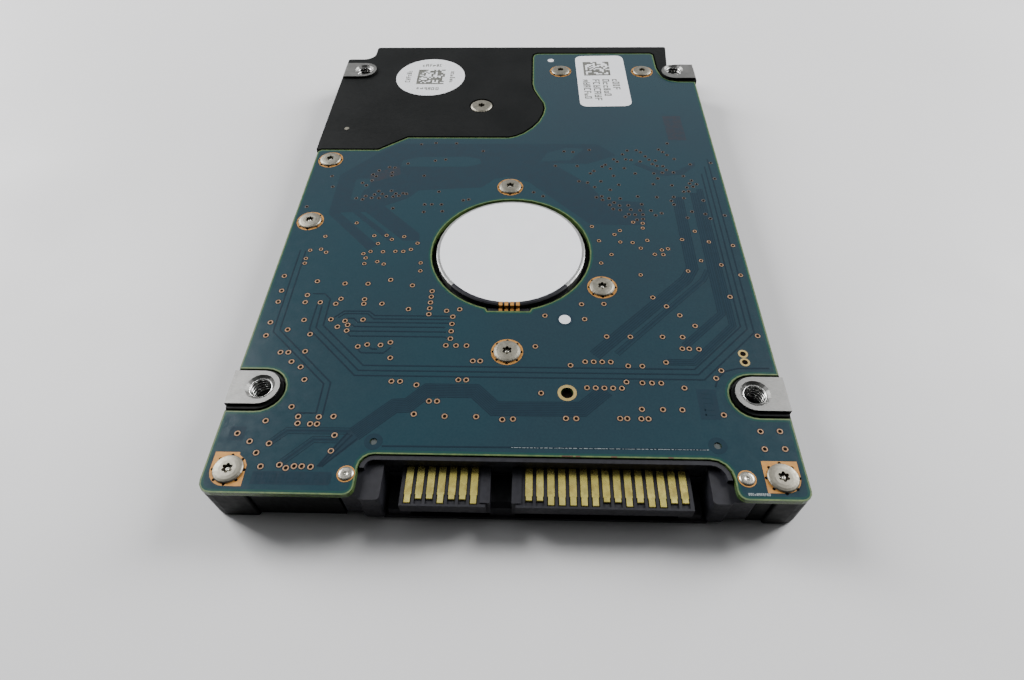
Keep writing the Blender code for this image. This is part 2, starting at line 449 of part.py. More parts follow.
# ---------------------------------------------------------------- spindle motor
def motor():
    part("motor_base", Solid().turn(*SPIN, [(3.05, 5.4), (9.9, 5.4), (9.9, 4.45), (11.1, 4.45),
                                            (11.1, MOTOR_TOP - 0.15), (10.95, MOTOR_TOP),
                                            (3.05, MOTOR_TOP)], 48), (0.6, 0.6, 0.59), 0.8, 0.4)
    part("motor_label", Solid().disc(*SPIN, SEAL_R, MOTOR_TOP + LABEL_GAP, MOTOR_TOP + LABEL_GAP + 0.06,
                                     48), WHITE, 0, 0.5)
    part("motor_flex", Solid().side([(27.6, 5.1), (31.2, 5.1), (31.2, 5.18), (27.6, 5.18)], -2.6, 2.6),
         COPPER, 0.2, 0.5, cut=[Solid().disc(*SPIN, 11.2, 4, 6, 48)])
    part("bearing_sleeve", Solid().turn(*SPIN, [(1.3, 2.95), (3.0, 2.95), (3.0, MOTOR_TOP - 0.05),
                                                (1.3, MOTOR_TOP - 0.05)], 24), (0.72, 0.6, 0.3), 0.9, 0.35)
    teeth = []
    step = 360 / TEETH
    for k in range(TEETH):
        a = step * k
        teeth.append(Solid().prism(turned([(3.5, -0.45), (6.6, -0.45), (6.6, -1.5), (7.5, -1.35),
                                           (7.5, 1.35), (6.6, 1.5), (6.6, 0.45), (3.5, 0.45)], a, SPIN),
                                   3.7, 4.3))
    part("stator_core", Solid().turn(*SPIN, [(3.05, 3.65), (4.0, 3.65), (4.0, 4.35), (3.05, 4.35)], 24),
         STEEL, 0.8, 0.5, add=teeth)
    coils = [Solid().prism(turned(rect(4.35, 6.35, 0.5, 0.95), step * k, SPIN), 3.55, 4.45)
             for k in range(TEETH)]
    coils += [Solid().prism(turned(rect(4.35, 6.35, -0.95, -0.5), step * k, SPIN), 3.55, 4.45)
              for k in range(TEETH)]
    part("stator_coils", Solid().turn(*SPIN, [(4.3, 4.4), (6.4, 4.4), (6.4, 4.6), (4.3, 4.6)], 24), COPPER,
         0.9, 0.35, add=coils)
    part("spindle_hub", Solid().turn(*SPIN, [(1.27, 1.35), (9.9, 1.35), (9.9, 2.86), (12.2, 2.86),
                                             (12.2, 3.3), (9.6, 3.3), (9.6, 4.95), (8.95, 4.95),
                                             (8.95, 2.9), (1.27, 2.9)], 32), ALU, 0.9, 0.3, origin=SPIN)
    part("spindle_shaft", Solid().disc(*SPIN, 1.25, 1.35, 5.85, 24), STEEL, 0.95, 0.2, origin=SPIN)
    part("rotor_magnet", Solid().turn(*SPIN, [(7.8, 3.0), (8.92, 3.0), (8.92, 4.85), (7.8, 4.85)], 32),
         (0.2, 0.2, 0.2), 0.6, 0.5, origin=SPIN)
    part("platter", Solid().turn(*SPIN, [(9.95, PLATTER_LO), (PLATTER_R, PLATTER_LO),
                                         (PLATTER_R, PLATTER_HI), (9.95, PLATTER_HI)], 64),
         (0.75, 0.75, 0.76), 1.0, 0.08, origin=SPIN)
    part("disk_clamp", Solid().turn(*SPIN, [(10.0, 1.55), (12.0, 1.9), (12.0, 2.17), (10.0, 2.17)], 32),
         STEEL, 0.9, 0.3, origin=SPIN)
    part("clamp_screw", Solid().turn(*SPIN, [(0, 1.0), (1.1, 1.0), (2.2, 1.1), (2.2, 1.32), (0, 1.32)], 16),
         STEEL, 0.9, 0.3, origin=SPIN)


# ---------------------------------------------------------------- actuator
def actuator():
    arm = [(3.0, -3.6), (24.0, -1.6), (26.5, -1.2), (26.5, 1.2), (24.0, 1.6), (3.0, 3.6)]
    lower = Solid().prism(turned(arm, PARK_DEG, PIVOT), 0.85, 1.3)
    upper = Solid().prism(turned(arm, PARK_DEG, PIVOT), 3.74, 4.18)
    part("actuator_arm", Solid().disc(*PIVOT, 5.6, 0.85, 4.9, 36), ALU, 0.9, 0.35,
         add=[lower, upper, Solid().prism(sector(*PIVOT, 4.6, 6.4, COIL_DEG - 26, COIL_DEG + 26), 2.8, 3.6),
              Solid().prism(sector(*PIVOT, 5.8, 17.6, COIL_DEG - 25, COIL_DEG - 21, 3), 2.81, 3.59),
              Solid().prism(sector(*PIVOT, 5.8, 17.6, COIL_DEG + 21, COIL_DEG + 25, 3), 2.81, 3.59)],
         cut=[Solid().disc(*PIVOT, 4.05, -1, 7, 36)], origin=PIVOT)
    part("pivot_bearing", Solid().turn(*PIVOT, [(1.65, 1.1), (4.0, 1.1), (4.0, 5.1), (1.65, 5.1)], 32),
         STEEL, 0.95, 0.2, origin=PIVOT)
    part("voice_coil", Solid().prism(sector(*PIVOT, 6.7, 17.0, COIL_DEG - 18.5, COIL_DEG + 18.5), 2.85,
                                     3.55), COPPER, 0.8, 0.4, cut=[Solid().prism(sector(*PIVOT, 9.0, 14.6,
                                                                                        COIL_DEG - 10,
                                                                                        COIL_DEG + 10), 2,
                                                                                 5)], origin=PIVOT)
    beam = [(21.5, -2.2), (33.0, -0.9), (37.6, -0.3), (37.6, 0.3), (33.0, 0.9), (21.5, 2.2)]
    for name, z0, z1, s0, s1 in (("lower", 1.33, 1.45, 1.48, 1.78), ("upper", 3.58, 3.7, 3.25, 3.55)):
        part(f"suspension_{name}", Solid().prism(turned(beam, PARK_DEG, PIVOT), z0, z1), STEEL, 0.95, 0.2,
             origin=PIVOT)
        part(f"slider_{name}", Solid().prism(turned(rect(ARM_LEN - 0.62, ARM_LEN + 0.62, -0.5, 0.5),
                                                    PARK_DEG, PIVOT), s0, s1), (0.12, 0.12, 0.12), 0.3, 0.3,
             origin=PIVOT)
    part("preamp_flex", Solid().prism(turned(rect(6.4, 15.0, -1.3, 1.3), PARK_DEG, PIVOT), 3.62, 3.71),
         (0.6, 0.3, 0.08), 0, 0.5, origin=PIVOT)
    part("pivot_post", Solid().disc(*PIVOT, 1.6, 1.0, 5.45, 24), STEEL, 0.9, 0.3,
         cut=[Solid().disc(*PIVOT, 0.8, 2.5, 7, 12)])
    screw = Solid().turn(*PIVOT, [(0, 2.6), (0.75, 2.6), (0.75, 6.37), (2.0, 6.37), (2.0, 6.5),
                                  (1.75, 6.66), (1.0, 6.72), (0, 6.72)], 24)
    part("pivot_screw", screw, STEEL, 0.9, 0.3, cut=[Solid().prism(star(*PIVOT, 0.47, 0.66, 6),
                                                                   PIVOT_RECESS_Z, HEIGHT + 0.5)])
    yoke = sector(*PIVOT, 6.8, 19.2, 94, 182, 14)
    mag = sector(*PIVOT, 8.6, 17.2, 98, 178, 12)
    for name, y0, y1, m0, m1 in (("lower", 0.9, 1.75, 1.77, 2.65), ("upper", 4.65, 5.5, 3.75, 4.63)):
        part(f"yoke_{name}", Solid().prism(yoke, y0, y1), STEEL, 0.9, 0.35)
        part(f"magnet_{name}", Solid().prism(mag, m0, m1), (0.55, 0.55, 0.56), 0.9, 0.3)


# ---------------------------------------------------------------- small pieces inside
def small_inside():
    tip = math.radians(PARK_DEG)
    rx, ry = PIVOT[0] + 36.6 * math.cos(tip), PIVOT[1] + 36.6 * math.sin(tip)
    block = turned([(-1.1, -4.2), (1.1, -4.2), (1.1, 1.6), (3.4, 1.6), (3.4, 4.4), (-1.1, 4.4)], PARK_DEG,
                   (rx, ry))
    part("ramp", Solid().prism(block, 1.5, 3.53), (0.85, 0.84, 0.78), 0, 0.5,
         cut=[Solid().disc(*SPIN, PLATTER_R + 0.35, 2.1, 2.95, 72)])
    part("filter", Solid().box(-31.0, -25.0, 72.4, 76.0, 1.2, 5.2), (0.85, 0.85, 0.83), 0, 0.9)
    part("crash_stop", Solid().disc(-20.8, 73.9, 1.1, 1.1, 4.4, 16), (0.1, 0.1, 0.1), 0, 0.8)
    part("latch_pin", Solid().disc(*LATCH, 0.55, 1.1, 4.25, 16), STEEL, 0.9, 0.3)
    part("latch_lever", Solid().turn(*LATCH, [(0.62, 1.6), (1.5, 1.6), (1.5, 3.4), (0.62, 3.4)], 24),
         (0.1, 0.1, 0.11), 0, 0.5, add=[Solid().prism(turned([(1.2, -0.6), (6.6, -0.45), (6.6, 0.45),
                                                              (1.2, 0.6)], 205, LATCH), 1.8, 3.2)],
         origin=LATCH)
    part("flex_ribbon", Solid().prism([(14.5, 79.4), (14.5, 79.15), (6.0, 76.9), (4.0, 77.9), (4.1, 78.15),
                                       (6.05, 77.2)], 2.4, 4.1), (0.6, 0.3, 0.08), 0, 0.5)


base_casting()
lid()
board()
connector()
motor()
actuator()
small_inside()
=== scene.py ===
"""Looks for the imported 2.5-inch hard disk drive: materials, board artwork, labels, lights and camera.

Lengths are in millimetres in this file and are scaled to metres on output. X runs across the drive,
Y runs from the connector end to the far end, Z runs up from the lid to the circuit board.
"""
import math
import random

import bmesh
import bpy
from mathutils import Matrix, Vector


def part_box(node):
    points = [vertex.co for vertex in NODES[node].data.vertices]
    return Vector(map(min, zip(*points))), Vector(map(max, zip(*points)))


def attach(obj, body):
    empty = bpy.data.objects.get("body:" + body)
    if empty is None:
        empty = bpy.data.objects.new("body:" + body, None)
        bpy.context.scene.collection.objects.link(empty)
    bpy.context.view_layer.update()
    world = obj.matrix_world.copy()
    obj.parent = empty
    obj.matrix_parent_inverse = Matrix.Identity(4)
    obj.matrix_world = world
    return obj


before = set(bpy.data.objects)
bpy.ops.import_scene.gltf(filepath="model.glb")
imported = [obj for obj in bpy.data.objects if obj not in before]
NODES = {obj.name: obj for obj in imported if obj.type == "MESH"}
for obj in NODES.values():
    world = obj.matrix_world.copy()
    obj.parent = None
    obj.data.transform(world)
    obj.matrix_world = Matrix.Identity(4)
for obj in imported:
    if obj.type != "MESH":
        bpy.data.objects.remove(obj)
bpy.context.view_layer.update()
MM = 0.001
BODY = "case"                                    # every added piece rides the case
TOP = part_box("circuit_board")[1].z / MM          # upper face of the board
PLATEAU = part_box("round_label")[0].z / MM        # casting face that the round label lies on
Y_FAR = 100.2                                    # far end of the casting
Y_SHIFT = Y_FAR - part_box("base_casting")[1].y / MM   # model Y = Y - Y_SHIFT
SPIN = (0.0, 39.3)                               # the spindle's axis
HOLES = [(side * 30.86, y) for side in (-1, 1) for y in (14.0, 90.6)]
HOLE_REACH = 1.9                                 # a mounting hole's countersink and its wall
COUNTERSINK = 0.42                               # depth of a mounting hole's countersink
BOSS_TOP = 7.0
BARE_DEPTH = 0.015                               # a boss's bare face reaches this far below its top
WINDOW_Y = 5.12                                  # the board's edge behind the connector
CONTACT_RUB = ((0.9, 1.4), (2.2, 3.0))           # Y over which the contacts' rubbed stretch starts and ends
FACING_UP = 0.6                                  # a face whose normal rises more than this is a top face


def place(x, y, z):
    """A point of the drive, in the model's metres."""
    return Vector((x * MM, (y - Y_SHIFT) * MM, z * MM))


def seat(node):
    """Where a node is centred, as x and y, and the height of its top."""
    low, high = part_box(node)
    return (low.x + high.x) / 2 / MM, (low.y + high.y) / 2 / MM + Y_SHIFT, high.z / MM


# ------------------------------------------------------------------ materials
DRIFT, WIDE_DRIFT = (0.35, 0.65), (0.3, 0.7)     # spans of a noise's values that are spread over a whole ramp


class Look:
    """A Principled material with small helpers for procedural detail in object space."""

    def __init__(self, name, colour, rough=0.5, metal=0.0, coat=0.0, coat_rough=0.1, spec=0.5):
        self.mat = bpy.data.materials.new(name)
        self.mat.use_nodes = True
        self.tree = self.mat.node_tree
        self.bsdf = self.tree.nodes["Principled BSDF"]
        self.base = (*colour, 1.0)
        self.bsdf.inputs["Base Color"].default_value = self.base
        self.bsdf.inputs["Roughness"].default_value = rough
        self.bsdf.inputs["Metallic"].default_value = metal
        self.bsdf.inputs["Coat Weight"].default_value = coat
        self.bsdf.inputs["Coat Roughness"].default_value = coat_rough
        self.bsdf.inputs["Specular IOR Level"].default_value = spec
        self.coords = self.tree.nodes.new("ShaderNodeTexCoord").outputs["Object"]
        self.normal = None

    def node(self, kind, **values):
        """A new shader node with the given settings."""
        made = self.tree.nodes.new(kind)
        for key, value in values.items():
            setattr(made, key, value)
        return made

    def link(self, a, b):
        self.tree.links.new(a, b)

    def stretched(self, scale):
        """Object coordinates scaled along each axis."""
        mapping = self.node("ShaderNodeMapping")
        mapping.inputs["Scale"].default_value = scale
        self.link(self.coords, mapping.inputs["Vector"])
        return mapping.outputs["Vector"]

    def noise(self, per_mm, detail=3.0, stretch=(1, 1, 1)):
        """Noise with about so many features to a millimetre."""
        made = self.node("ShaderNodeTexNoise")
        self.link(self.stretched(tuple(per_mm / MM * s for s in stretch)), made.inputs["Vector"])
        made.inputs["Scale"].default_value = 1.0
        made.inputs["Detail"].default_value = detail
        return made.outputs["Fac"]

    def ramp(self, value, low, high, out_low=0.0, out_high=1.0):
        """The value's range from low to high, mapped to another range."""
        made = self.node("ShaderNodeMapRange")
        self.link(value, made.inputs["Value"])
        ends = {"From Min": low, "From Max": high, "To Min": out_low, "To Max": out_high}
        for key, number in ends.items():
            made.inputs[key].default_value = number
        return made.outputs["Result"]

    def math(self, operation, a, b=0.0):
        made = self.node("ShaderNodeMath", operation=operation)
        for socket, value in zip(made.inputs, (a, b)):
            if isinstance(value, (int, float)):
                socket.default_value = value
            else:
                self.link(value, socket)
        return made.outputs[0]

    def mix(self, factor, a, b):
        """Blend of two colours, each a tuple or another node's output."""
        made = self.node("ShaderNodeMix", data_type="RGBA")
        self.link(factor, made.inputs[0])
        for socket, value in ((made.inputs[6], a), (made.inputs[7], b)):
            if isinstance(value, tuple):
                socket.default_value = (*value[:3], 1.0)
            else:
                self.link(value, socket)
        return made.outputs[2]

    def colour(self, source):
        self.link(source, self.bsdf.inputs["Base Color"])

    def mottle(self, per_mm, other, amount, stretch=(1, 1, 1)):
        """Colour drifts between the base and another colour."""
        factor = self.ramp(self.noise(per_mm, 4.0, stretch), *DRIFT, 0.0, amount)
        self.colour(self.mix(factor, self.base, other))
        return self

    def roughness(self, per_mm, low, high, stretch=(1, 1, 1)):
        """Roughness drifts between two values."""
        drift = self.ramp(self.noise(per_mm, 3.0, stretch), *WIDE_DRIFT, low, high)
        self.link(drift, self.bsdf.inputs["Roughness"])
        return self

    def bump(self, per_mm, height_mm, strength, stretch=(1, 1, 1)):
        """Fine relief, laid over any relief added before."""
        made = self.node("ShaderNodeBump")
        made.inputs["Strength"].default_value = strength
        made.inputs["Distance"].default_value = height_mm * MM
        self.link(self.noise(per_mm, 3.0, stretch), made.inputs["Height"])
        if self.normal is not None:
            self.link(self.normal, made.inputs["Normal"])
        self.normal = made.outputs["Normal"]
        self.link(self.normal, self.bsdf.inputs["Normal"])
        return self

    def axis(self, name, normal=False):
        """One coordinate in millimetres, or one part of the surface normal."""
        made = self.node("ShaderNodeSeparateXYZ")
        if normal:
            self.link(self.node("ShaderNodeNewGeometry").outputs["Normal"], made.inputs[0])
            return made.outputs[name]
        self.link(self.coords, made.inputs[0])
        return self.math("MULTIPLY", made.outputs[name], 1 / MM)

    def near(self, x, y, radius):
        """1 within a radius of a vertical axis, else 0."""
        dx = self.math("SUBTRACT", self.axis("X"), x)
        dy = self.math("SUBTRACT", self.axis("Y"), y - Y_SHIFT)
        squares = self.math("ADD", self.math("MULTIPLY", dx, dx), self.math("MULTIPLY", dy, dy))
        distance = self.math("SQRT", squares)
        return self.math("LESS_THAN", distance, radius)


def casting_look():
    """Black coat, with bare brushed metal on the boss faces and in the mounting holes; below the countersink
    the holes' metal is painted near black as painted shade.
    """
    look = Look("casting_black", (0.006, 0.006, 0.006), rough=0.5, spec=0.12)
    height = look.axis("Z")
    in_hole = look.near(*HOLES[0], HOLE_REACH)
    for x, y in HOLES[1:]:
        in_hole = look.math("MAXIMUM", in_hole, look.near(x, y, HOLE_REACH))
    bare = look.math("MAXIMUM", look.math("GREATER_THAN", height, BOSS_TOP - BARE_DEPTH), in_hole)
    # painted shade: a hole's wall below its countersink is darkened to near black
    painted_hole_shade = look.math("MULTIPLY", in_hole, look.math("LESS_THAN", height, BOSS_TOP - COUNTERSINK))
    brushed = look.ramp(look.noise(2.4, 4.0, (1.0, 16.0, 1.0)), *DRIFT)
    metal = look.mix(brushed, (0.17, 0.169, 0.163), (0.25, 0.248, 0.24))
    metal = look.mix(painted_hole_shade, metal, (0.05, 0.05, 0.05))
    clouds = look.ramp(look.noise(0.12, 5.0), *DRIFT)
    black = look.mix(clouds, (0.003, 0.0035, 0.0035), (0.006, 0.0065, 0.0065))
    look.colour(look.mix(bare, black, metal))
    look.link(look.math("MULTIPLY", bare, 0.95), look.bsdf.inputs["Metallic"])
    return look.roughness(1.2, 0.42, 0.56).bump(5.0, 0.012, 0.35).bump(0.7, 0.02, 0.2).mat


def board_look():
    """Teal solder mask on the faces and bare glass fibre on the cut edges."""
    look = Look("solder_mask", (0.010, 0.030, 0.042), rough=0.19, spec=0.36)
    flat = look.math("GREATER_THAN", look.axis("Z", normal=True), FACING_UP)
    drift = look.ramp(look.noise(0.035, 3.0), *DRIFT)
    mask = look.mix(drift, (0.009, 0.032, 0.044), (0.012, 0.028, 0.039))
    speck = look.ramp(look.noise(3.5, 2.0), *WIDE_DRIFT, 0.0, 0.35)
    mask = look.mix(speck, mask, (0.015, 0.041, 0.053))
    plies = look.ramp(look.noise(1.0, 3.0, (0.6, 0.6, 7.0)), *DRIFT)
    fibre = look.mix(plies, (0.020, 0.050, 0.018), (0.075, 0.115, 0.032))
    look.colour(look.mix(flat, fibre, mask))
    return look.roughness(0.8, 0.16, 0.22).bump(4.0, 0.002, 0.25).mat


def screw_look():
    """Dull nickel plating."""
    look = Look("screw_nickel", (0.30, 0.283, 0.235), rough=0.5, metal=1.0)
    look.mottle(1.2, (0.22, 0.208, 0.17), 0.8)
    return look.roughness(2.5, 0.44, 0.58).bump(6.0, 0.006, 0.3).mat


def label_look(name, shade):
    """Coated paper; shade sets how white it is."""
    colour, other = ([part * shade for part in mix] for mix in ((0.80, 0.81, 0.83), (0.76, 0.77, 0.80)))
    look = Look(name, tuple(colour), rough=0.45, coat=0.12, coat_rough=0.3)
    return look.mottle(0.3, tuple(other), 0.6).bump(3.0, 0.004, 0.2).mat


def housing_look():
    """Charcoal moulded resin."""
    look = Look("connector_resin", (0.011, 0.011, 0.0145), rough=0.5, spec=0.26)
    look.mottle(1.5, (0.017, 0.017, 0.022), 0.8)
    return look.roughness(2.0, 0.42, 0.6).bump(7.0, 0.01, 0.35).mat


def gold_look():
    """Plated contacts: rubbed darker part way along, brighter again at their tips."""
    look = Look("contact_gold", (0.74, 0.60, 0.13), rough=0.26, metal=0.88)
    along = look.axis("Y")
    starts, ends = ([y - Y_SHIFT for y in span] for span in CONTACT_RUB)
    rubbed = look.math("MULTIPLY", look.ramp(along, *starts), look.ramp(along, *ends, 1.0, 0.0))
    patchy = look.ramp(look.noise(0.9, 4.0, (1.6, 1.0, 1.0)), 0.42, 0.62)
    worn = look.math("MULTIPLY", rubbed, patchy)
    plated = look.mix(look.ramp(look.noise(0.5, 3.0), *DRIFT), (1.0, 0.88, 0.26), (0.92, 0.77, 0.20))
    look.colour(look.mix(look.math("MULTIPLY", worn, 0.5), plated, (0.42, 0.30, 0.10)))
    return look.roughness(1.2, 0.2, 0.34).bump(3.0, 0.003, 0.2).mat


def simple_look(name, colour, other, rough, metal=0.0, per_mm=1.0, bump=0.006, stretch=(1, 1, 1), spec=0.5):
    """A plain surface that drifts between two colours, with its own roughness and fine relief."""
    look = Look(name, colour, rough=rough, metal=metal, spec=spec)
    look.mottle(per_mm, other, 0.8, stretch)
    look.roughness(per_mm * 1.7, rough * 0.85, min(1.0, rough * 1.2), stretch)
    return look.bump(per_mm * 4, bump, 0.3, stretch).mat


LOOKS = {
    "casting": casting_look(),
    "board": board_look(),
    "screw": screw_look(),
    "label": label_look("label_paper", 0.86),
    "seal": label_look("seal_paper", 1.06),
    "housing": housing_look(),
    "gold": gold_look(),
    "lid": simple_look("lid_steel", (0.56, 0.56, 0.55), (0.48, 0.48, 0.48), 0.34, 0.95, 0.8,
                       stretch=(1, 12, 1)),
    "rim": simple_look("motor_rim", (0.62, 0.62, 0.61), (0.52, 0.52, 0.51), 0.32, 0.9, 1.0),
    "rubber": simple_look("gasket_rubber", (0.018, 0.018, 0.018), (0.03, 0.03, 0.03), 0.8),
    "aluminium": simple_look("turned_aluminium", (0.72, 0.72, 0.71), (0.6, 0.6, 0.6), 0.3, 1.0),
    "steel": simple_look("plated_steel", (0.58, 0.58, 0.57), (0.48, 0.48, 0.47), 0.3, 1.0),
    "platter": simple_look("platter_film", (0.72, 0.72, 0.74), (0.68, 0.68, 0.70), 0.06, 1.0, 0.1, 0.0005),
    "copper": simple_look("wound_copper", (0.62, 0.27, 0.12), (0.45, 0.18, 0.08), 0.35, 0.9, 3.0),
    "magnet": simple_look("magnet_plating", (0.5, 0.5, 0.51), (0.4, 0.4, 0.41), 0.3, 0.9),
    "ferrite": simple_look("rotor_magnet_black", (0.08, 0.08, 0.08), (0.05, 0.05, 0.05), 0.5, 0.3),
    "polyimide": simple_look("polyimide_film", (0.5, 0.22, 0.04), (0.4, 0.16, 0.03), 0.3),
    "ivory": simple_look("ramp_resin", (0.7, 0.68, 0.6), (0.62, 0.6, 0.52), 0.45),
    "felt": simple_look("filter_felt", (0.75, 0.75, 0.72), (0.6, 0.6, 0.58), 0.9, 0.0, 4.0, 0.04),
    "bronze": simple_look("sleeve_bronze", (0.6, 0.45, 0.2), (0.5, 0.36, 0.15), 0.35, 1.0),
    "chip": simple_look("chip_resin", (0.03, 0.03, 0.033), (0.045, 0.045, 0.05), 0.6, 0.0, 3.0),
}
NODE_LOOKS = {
    "base_casting": "casting", "circuit_board": "board", "sata_housing": "housing", "top_cover": "lid",
    "cover_label": "label", "board_label": "label", "round_label": "label", "motor_label": "seal",
    "cover_gasket": "rubber", "crash_stop": "rubber", "signal_contacts": "gold", "power_contacts": "gold",
    "pivot_screw": "screw", "motor_base": "rim", "motor_flex": "polyimide", "preamp_flex": "polyimide",
    "flex_ribbon": "polyimide", "bearing_sleeve": "bronze", "stator_coils": "copper", "voice_coil": "copper",
    "spindle_hub": "aluminium", "actuator_arm": "aluminium", "platter": "platter", "rotor_magnet": "ferrite",
    "magnet_lower": "magnet", "magnet_upper": "magnet", "ramp": "ivory", "filter": "felt",
    "controller_chip": "chip", "memory_chip": "chip", "head_connector": "chip", "latch_lever": "chip",
    "slider_lower": "ferrite", "slider_upper": "ferrite"}


def dress_nodes():
    """Give every node of the drive its look; screws are nickel and the rest is plated steel unless named."""
    for name, obj in NODES.items():
        key = NODE_LOOKS.get(name, "screw" if "screw" in name else "steel")
        obj.data.materials.clear()
        obj.data.materials.append(LOOKS[key])


# ------------------------------------------------------------------ outlines and piece building
BAR_STEP = 0.0005                                # neighbouring bars differ this much in height


def shifted(route, offset, closed=False):
    """A route moved sideways to its left by an even distance, mitred at its bends."""
    sharpest = 0.5 if closed else 0.4            # keeps the mitre of a sharp bend from running away
    moved = []
    for i, (x, y) in enumerate(route):
        last = route[i - 1] if closed or i else None
        following = route[(i + 1) % len(route)] if closed or i + 1 < len(route) else None
        a = Vector((x - last[0], y - last[1])) if last else None
        b = Vector((following[0] - x, following[1] - y)) if following else None
        a, b = (a or b).normalized(), (b or a).normalized()
        side = Vector((-(a.y + b.y), a.x + b.x)).normalized()
        reach = offset / max(sharpest, side.dot(Vector((-a.y, a.x))))
        moved.append((x + side.x * reach, y + side.y * reach))
    return moved


def rounded(corners, n=6):
    """Outline from (x, y, radius) corners, with each corner filleted."""
    out = []
    for i, (x, y, r) in enumerate(corners):
        if r <= 0:
            out.append((x, y))
            continue
        at = Vector((x, y))
        a = (Vector(corners[i - 1][:2]) - at).normalized()
        b = (Vector(corners[(i + 1) % len(corners)][:2]) - at).normalized()
        half = a.angle(b) / 2
        centre = at + (a + b).normalized() * r / math.sin(half)
        start = at + a * r / math.tan(half) - centre
        end = at + b * r / math.tan(half) - centre
        first = math.atan2(start.y, start.x)
        turn = (math.atan2(end.y, end.x) - first + math.pi) % (2 * math.pi) - math.pi
        angles = [first + turn * k / n for k in range(n + 1)]
        out += [(centre.x + r * math.cos(angle), centre.y + r * math.sin(angle)) for angle in angles]
    return out


def star(x, y, inner, outer):
    """Six-lobe outline, three points to a lobe."""
    return [(x + r * math.cos(math.pi * k / 9), y + r * math.sin(math.pi * k / 9))
            for k, r in enumerate([inner, outer, outer] * 6)]


class Shape:
    """Collects closed shells for one piece."""

    def __init__(self):
        self.verts, self.faces = [], []

    def prism(self, pts, z0, z1):
        """Upright solid on an outline."""
        n, base = len(pts), len(self.verts)
        if sum(a[0] * b[1] - b[0] * a[1] for a, b in zip(pts, pts[1:] + pts[:1])) < 0:
            pts = pts[::-1]
        self.verts += [place(x, y, z) for z in (z0, z1) for x, y in pts]
        self.faces.append(tuple(base + i for i in reversed(range(n))))
        self.faces.append(tuple(base + n + i for i in range(n)))
        self.faces += [(base + i, base + (i + 1) % n, base + n + (i + 1) % n, base + n + i) for i in range(n)]
        return self

    def disc(self, x, y, r, z0, z1, n):
        angles = [2 * math.pi * k / n for k in range(n)]
        return self.prism([(x + r * math.cos(angle), y + r * math.sin(angle)) for angle in angles], z0, z1)

    def turned(self, x, y, profile, n, start=0.0, sweep=360.0):
        """Ring or arc from a closed (r, z) profile listed anticlockwise."""
        base, m = len(self.verts), len(profile)
        whole = sweep >= 360.0
        steps = n if whole else n + 1
        for k in range(steps):
            a = math.radians(start + sweep * k / n)
            self.verts += [place(x + r * math.cos(a), y + r * math.sin(a), z) for r, z in profile]
        for k in range(n):
            a, b = base + k * m, base + ((k + 1) % steps) * m
            self.faces += [(a + i, b + i, b + (i + 1) % m, a + (i + 1) % m) for i in range(m)]
        if not whole:
            last = base + n * m
            self.faces += [tuple(base + i for i in range(m)), tuple(last + i for i in reversed(range(m)))]
        return self

    def ring(self, x, y, r0, r1, z0, z1, n):
        return self.turned(x, y, [(r0, z0), (r1, z0), (r1, z1), (r0, z1)], n)

    def strip(self, left, right, z0, z1, closed=False):
        """Flat strip between two outlines; its ends are capped unless it closes on itself."""
        n, base = len(left), len(self.verts)
        for pair in zip(left, right):
            self.verts += [place(*p, z) for p in pair for z in (z0, z1)]
        for i in range(n if closed else n - 1):
            a, b = base + 4 * i, base + 4 * ((i + 1) % n)
            self.faces += [(a + 1, a + 3, b + 3, b + 1), (a, b, b + 2, a + 2), (a, a + 1, b + 1, b),
                           (a + 2, b + 2, b + 3, a + 3)]
        if not closed:
            end = base + 4 * (n - 1)
            self.faces += [(base, base + 2, base + 3, base + 1), (end, end + 1, end + 3, end + 2)]
        return self

    def ribbon(self, route, width, z0, z1):
        """Flat strip of even width along a route."""
        return self.strip(shifted(route, width / 2), shifted(route, -width / 2), z0, z1)

    def bars(self, marks, z0, z1, at=(0.0, 0.0), degrees=0.0):
        """Boxes from (x, y, width, height) marks, turned about a place.

        Neighbours differ a little in height, so that crossing bars share no plane.
        """
        c, s = math.cos(math.radians(degrees)), math.sin(math.radians(degrees))
        for k, (x, y, w, h) in enumerate(marks):
            corners = [(x, y), (x + w, y), (x + w, y + h), (x, y + h)]
            outline = [(at[0] + px * c - py * s, at[1] + px * s + py * c) for px, py in corners]
            self.prism(outline, z0, z1 + BAR_STEP * (k % 5))
        return self

    def piece(self, name, look, slot="circuit_board", smooth=False):
        """Make the piece and let it ride the case."""
        mesh = bpy.data.meshes.new(name)
        mesh.from_pydata(self.verts, [], self.faces)
        work = bmesh.new()
        work.from_mesh(mesh)
        bmesh.ops.recalc_face_normals(work, faces=work.faces)
        work.to_mesh(mesh)
        work.free()
        obj = bpy.data.objects.new(name, mesh)
        bpy.context.scene.collection.objects.link(obj)
        mesh.materials.append(look)
        if smooth:
            mesh.shade_smooth()
        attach(obj, BODY)
        return obj


def spread(route, count, pitch):
    """Parallel copies of a route, offset sideways by an even pitch."""
    return [shifted(route, (k - (count - 1) / 2) * pitch) for k in range(count)]


# ------------------------------------------------------------------ board artwork
INK = 0.012                                      # how far the artwork stands above the mask
STEP = 0.0004                                    # difference in height between shapes that cross
ROOT = 0.02                                      # added pieces are rooted this far below the face they lie on
DEEP_ROOT = 0.05                                 # the plated holes' rings and wells start this far below it
SAME_POINT = 0.02                                # corners of the board closer than this are one corner
NARROWEST_BORDERED = 4                           # a smaller opening in the board shows no laminate border
SCREW_FLOOR, PIVOT_FLOOR = 6.35, 6.2             # floors of the driver recesses
NEAR_LEFT_SCREW, NEAR_RIGHT_SCREW = 8, 9         # the two on the board's corners
BOARD_SCREWS = {index: seat(f"board_screw_{index}")[:2] for index in range(1, 10)}
PEGS = ((-15.4, 6.75), (25.15, 6.9))             # moulded pegs of the connector, seen through the board
TABS = ((-17.9, 2.5), (27.7, 2.75))              # soldered tabs of the connector
PAINT_DOT, FAR_PAINT_DOT = (7.75, 25.95), (6.62, 94.95)
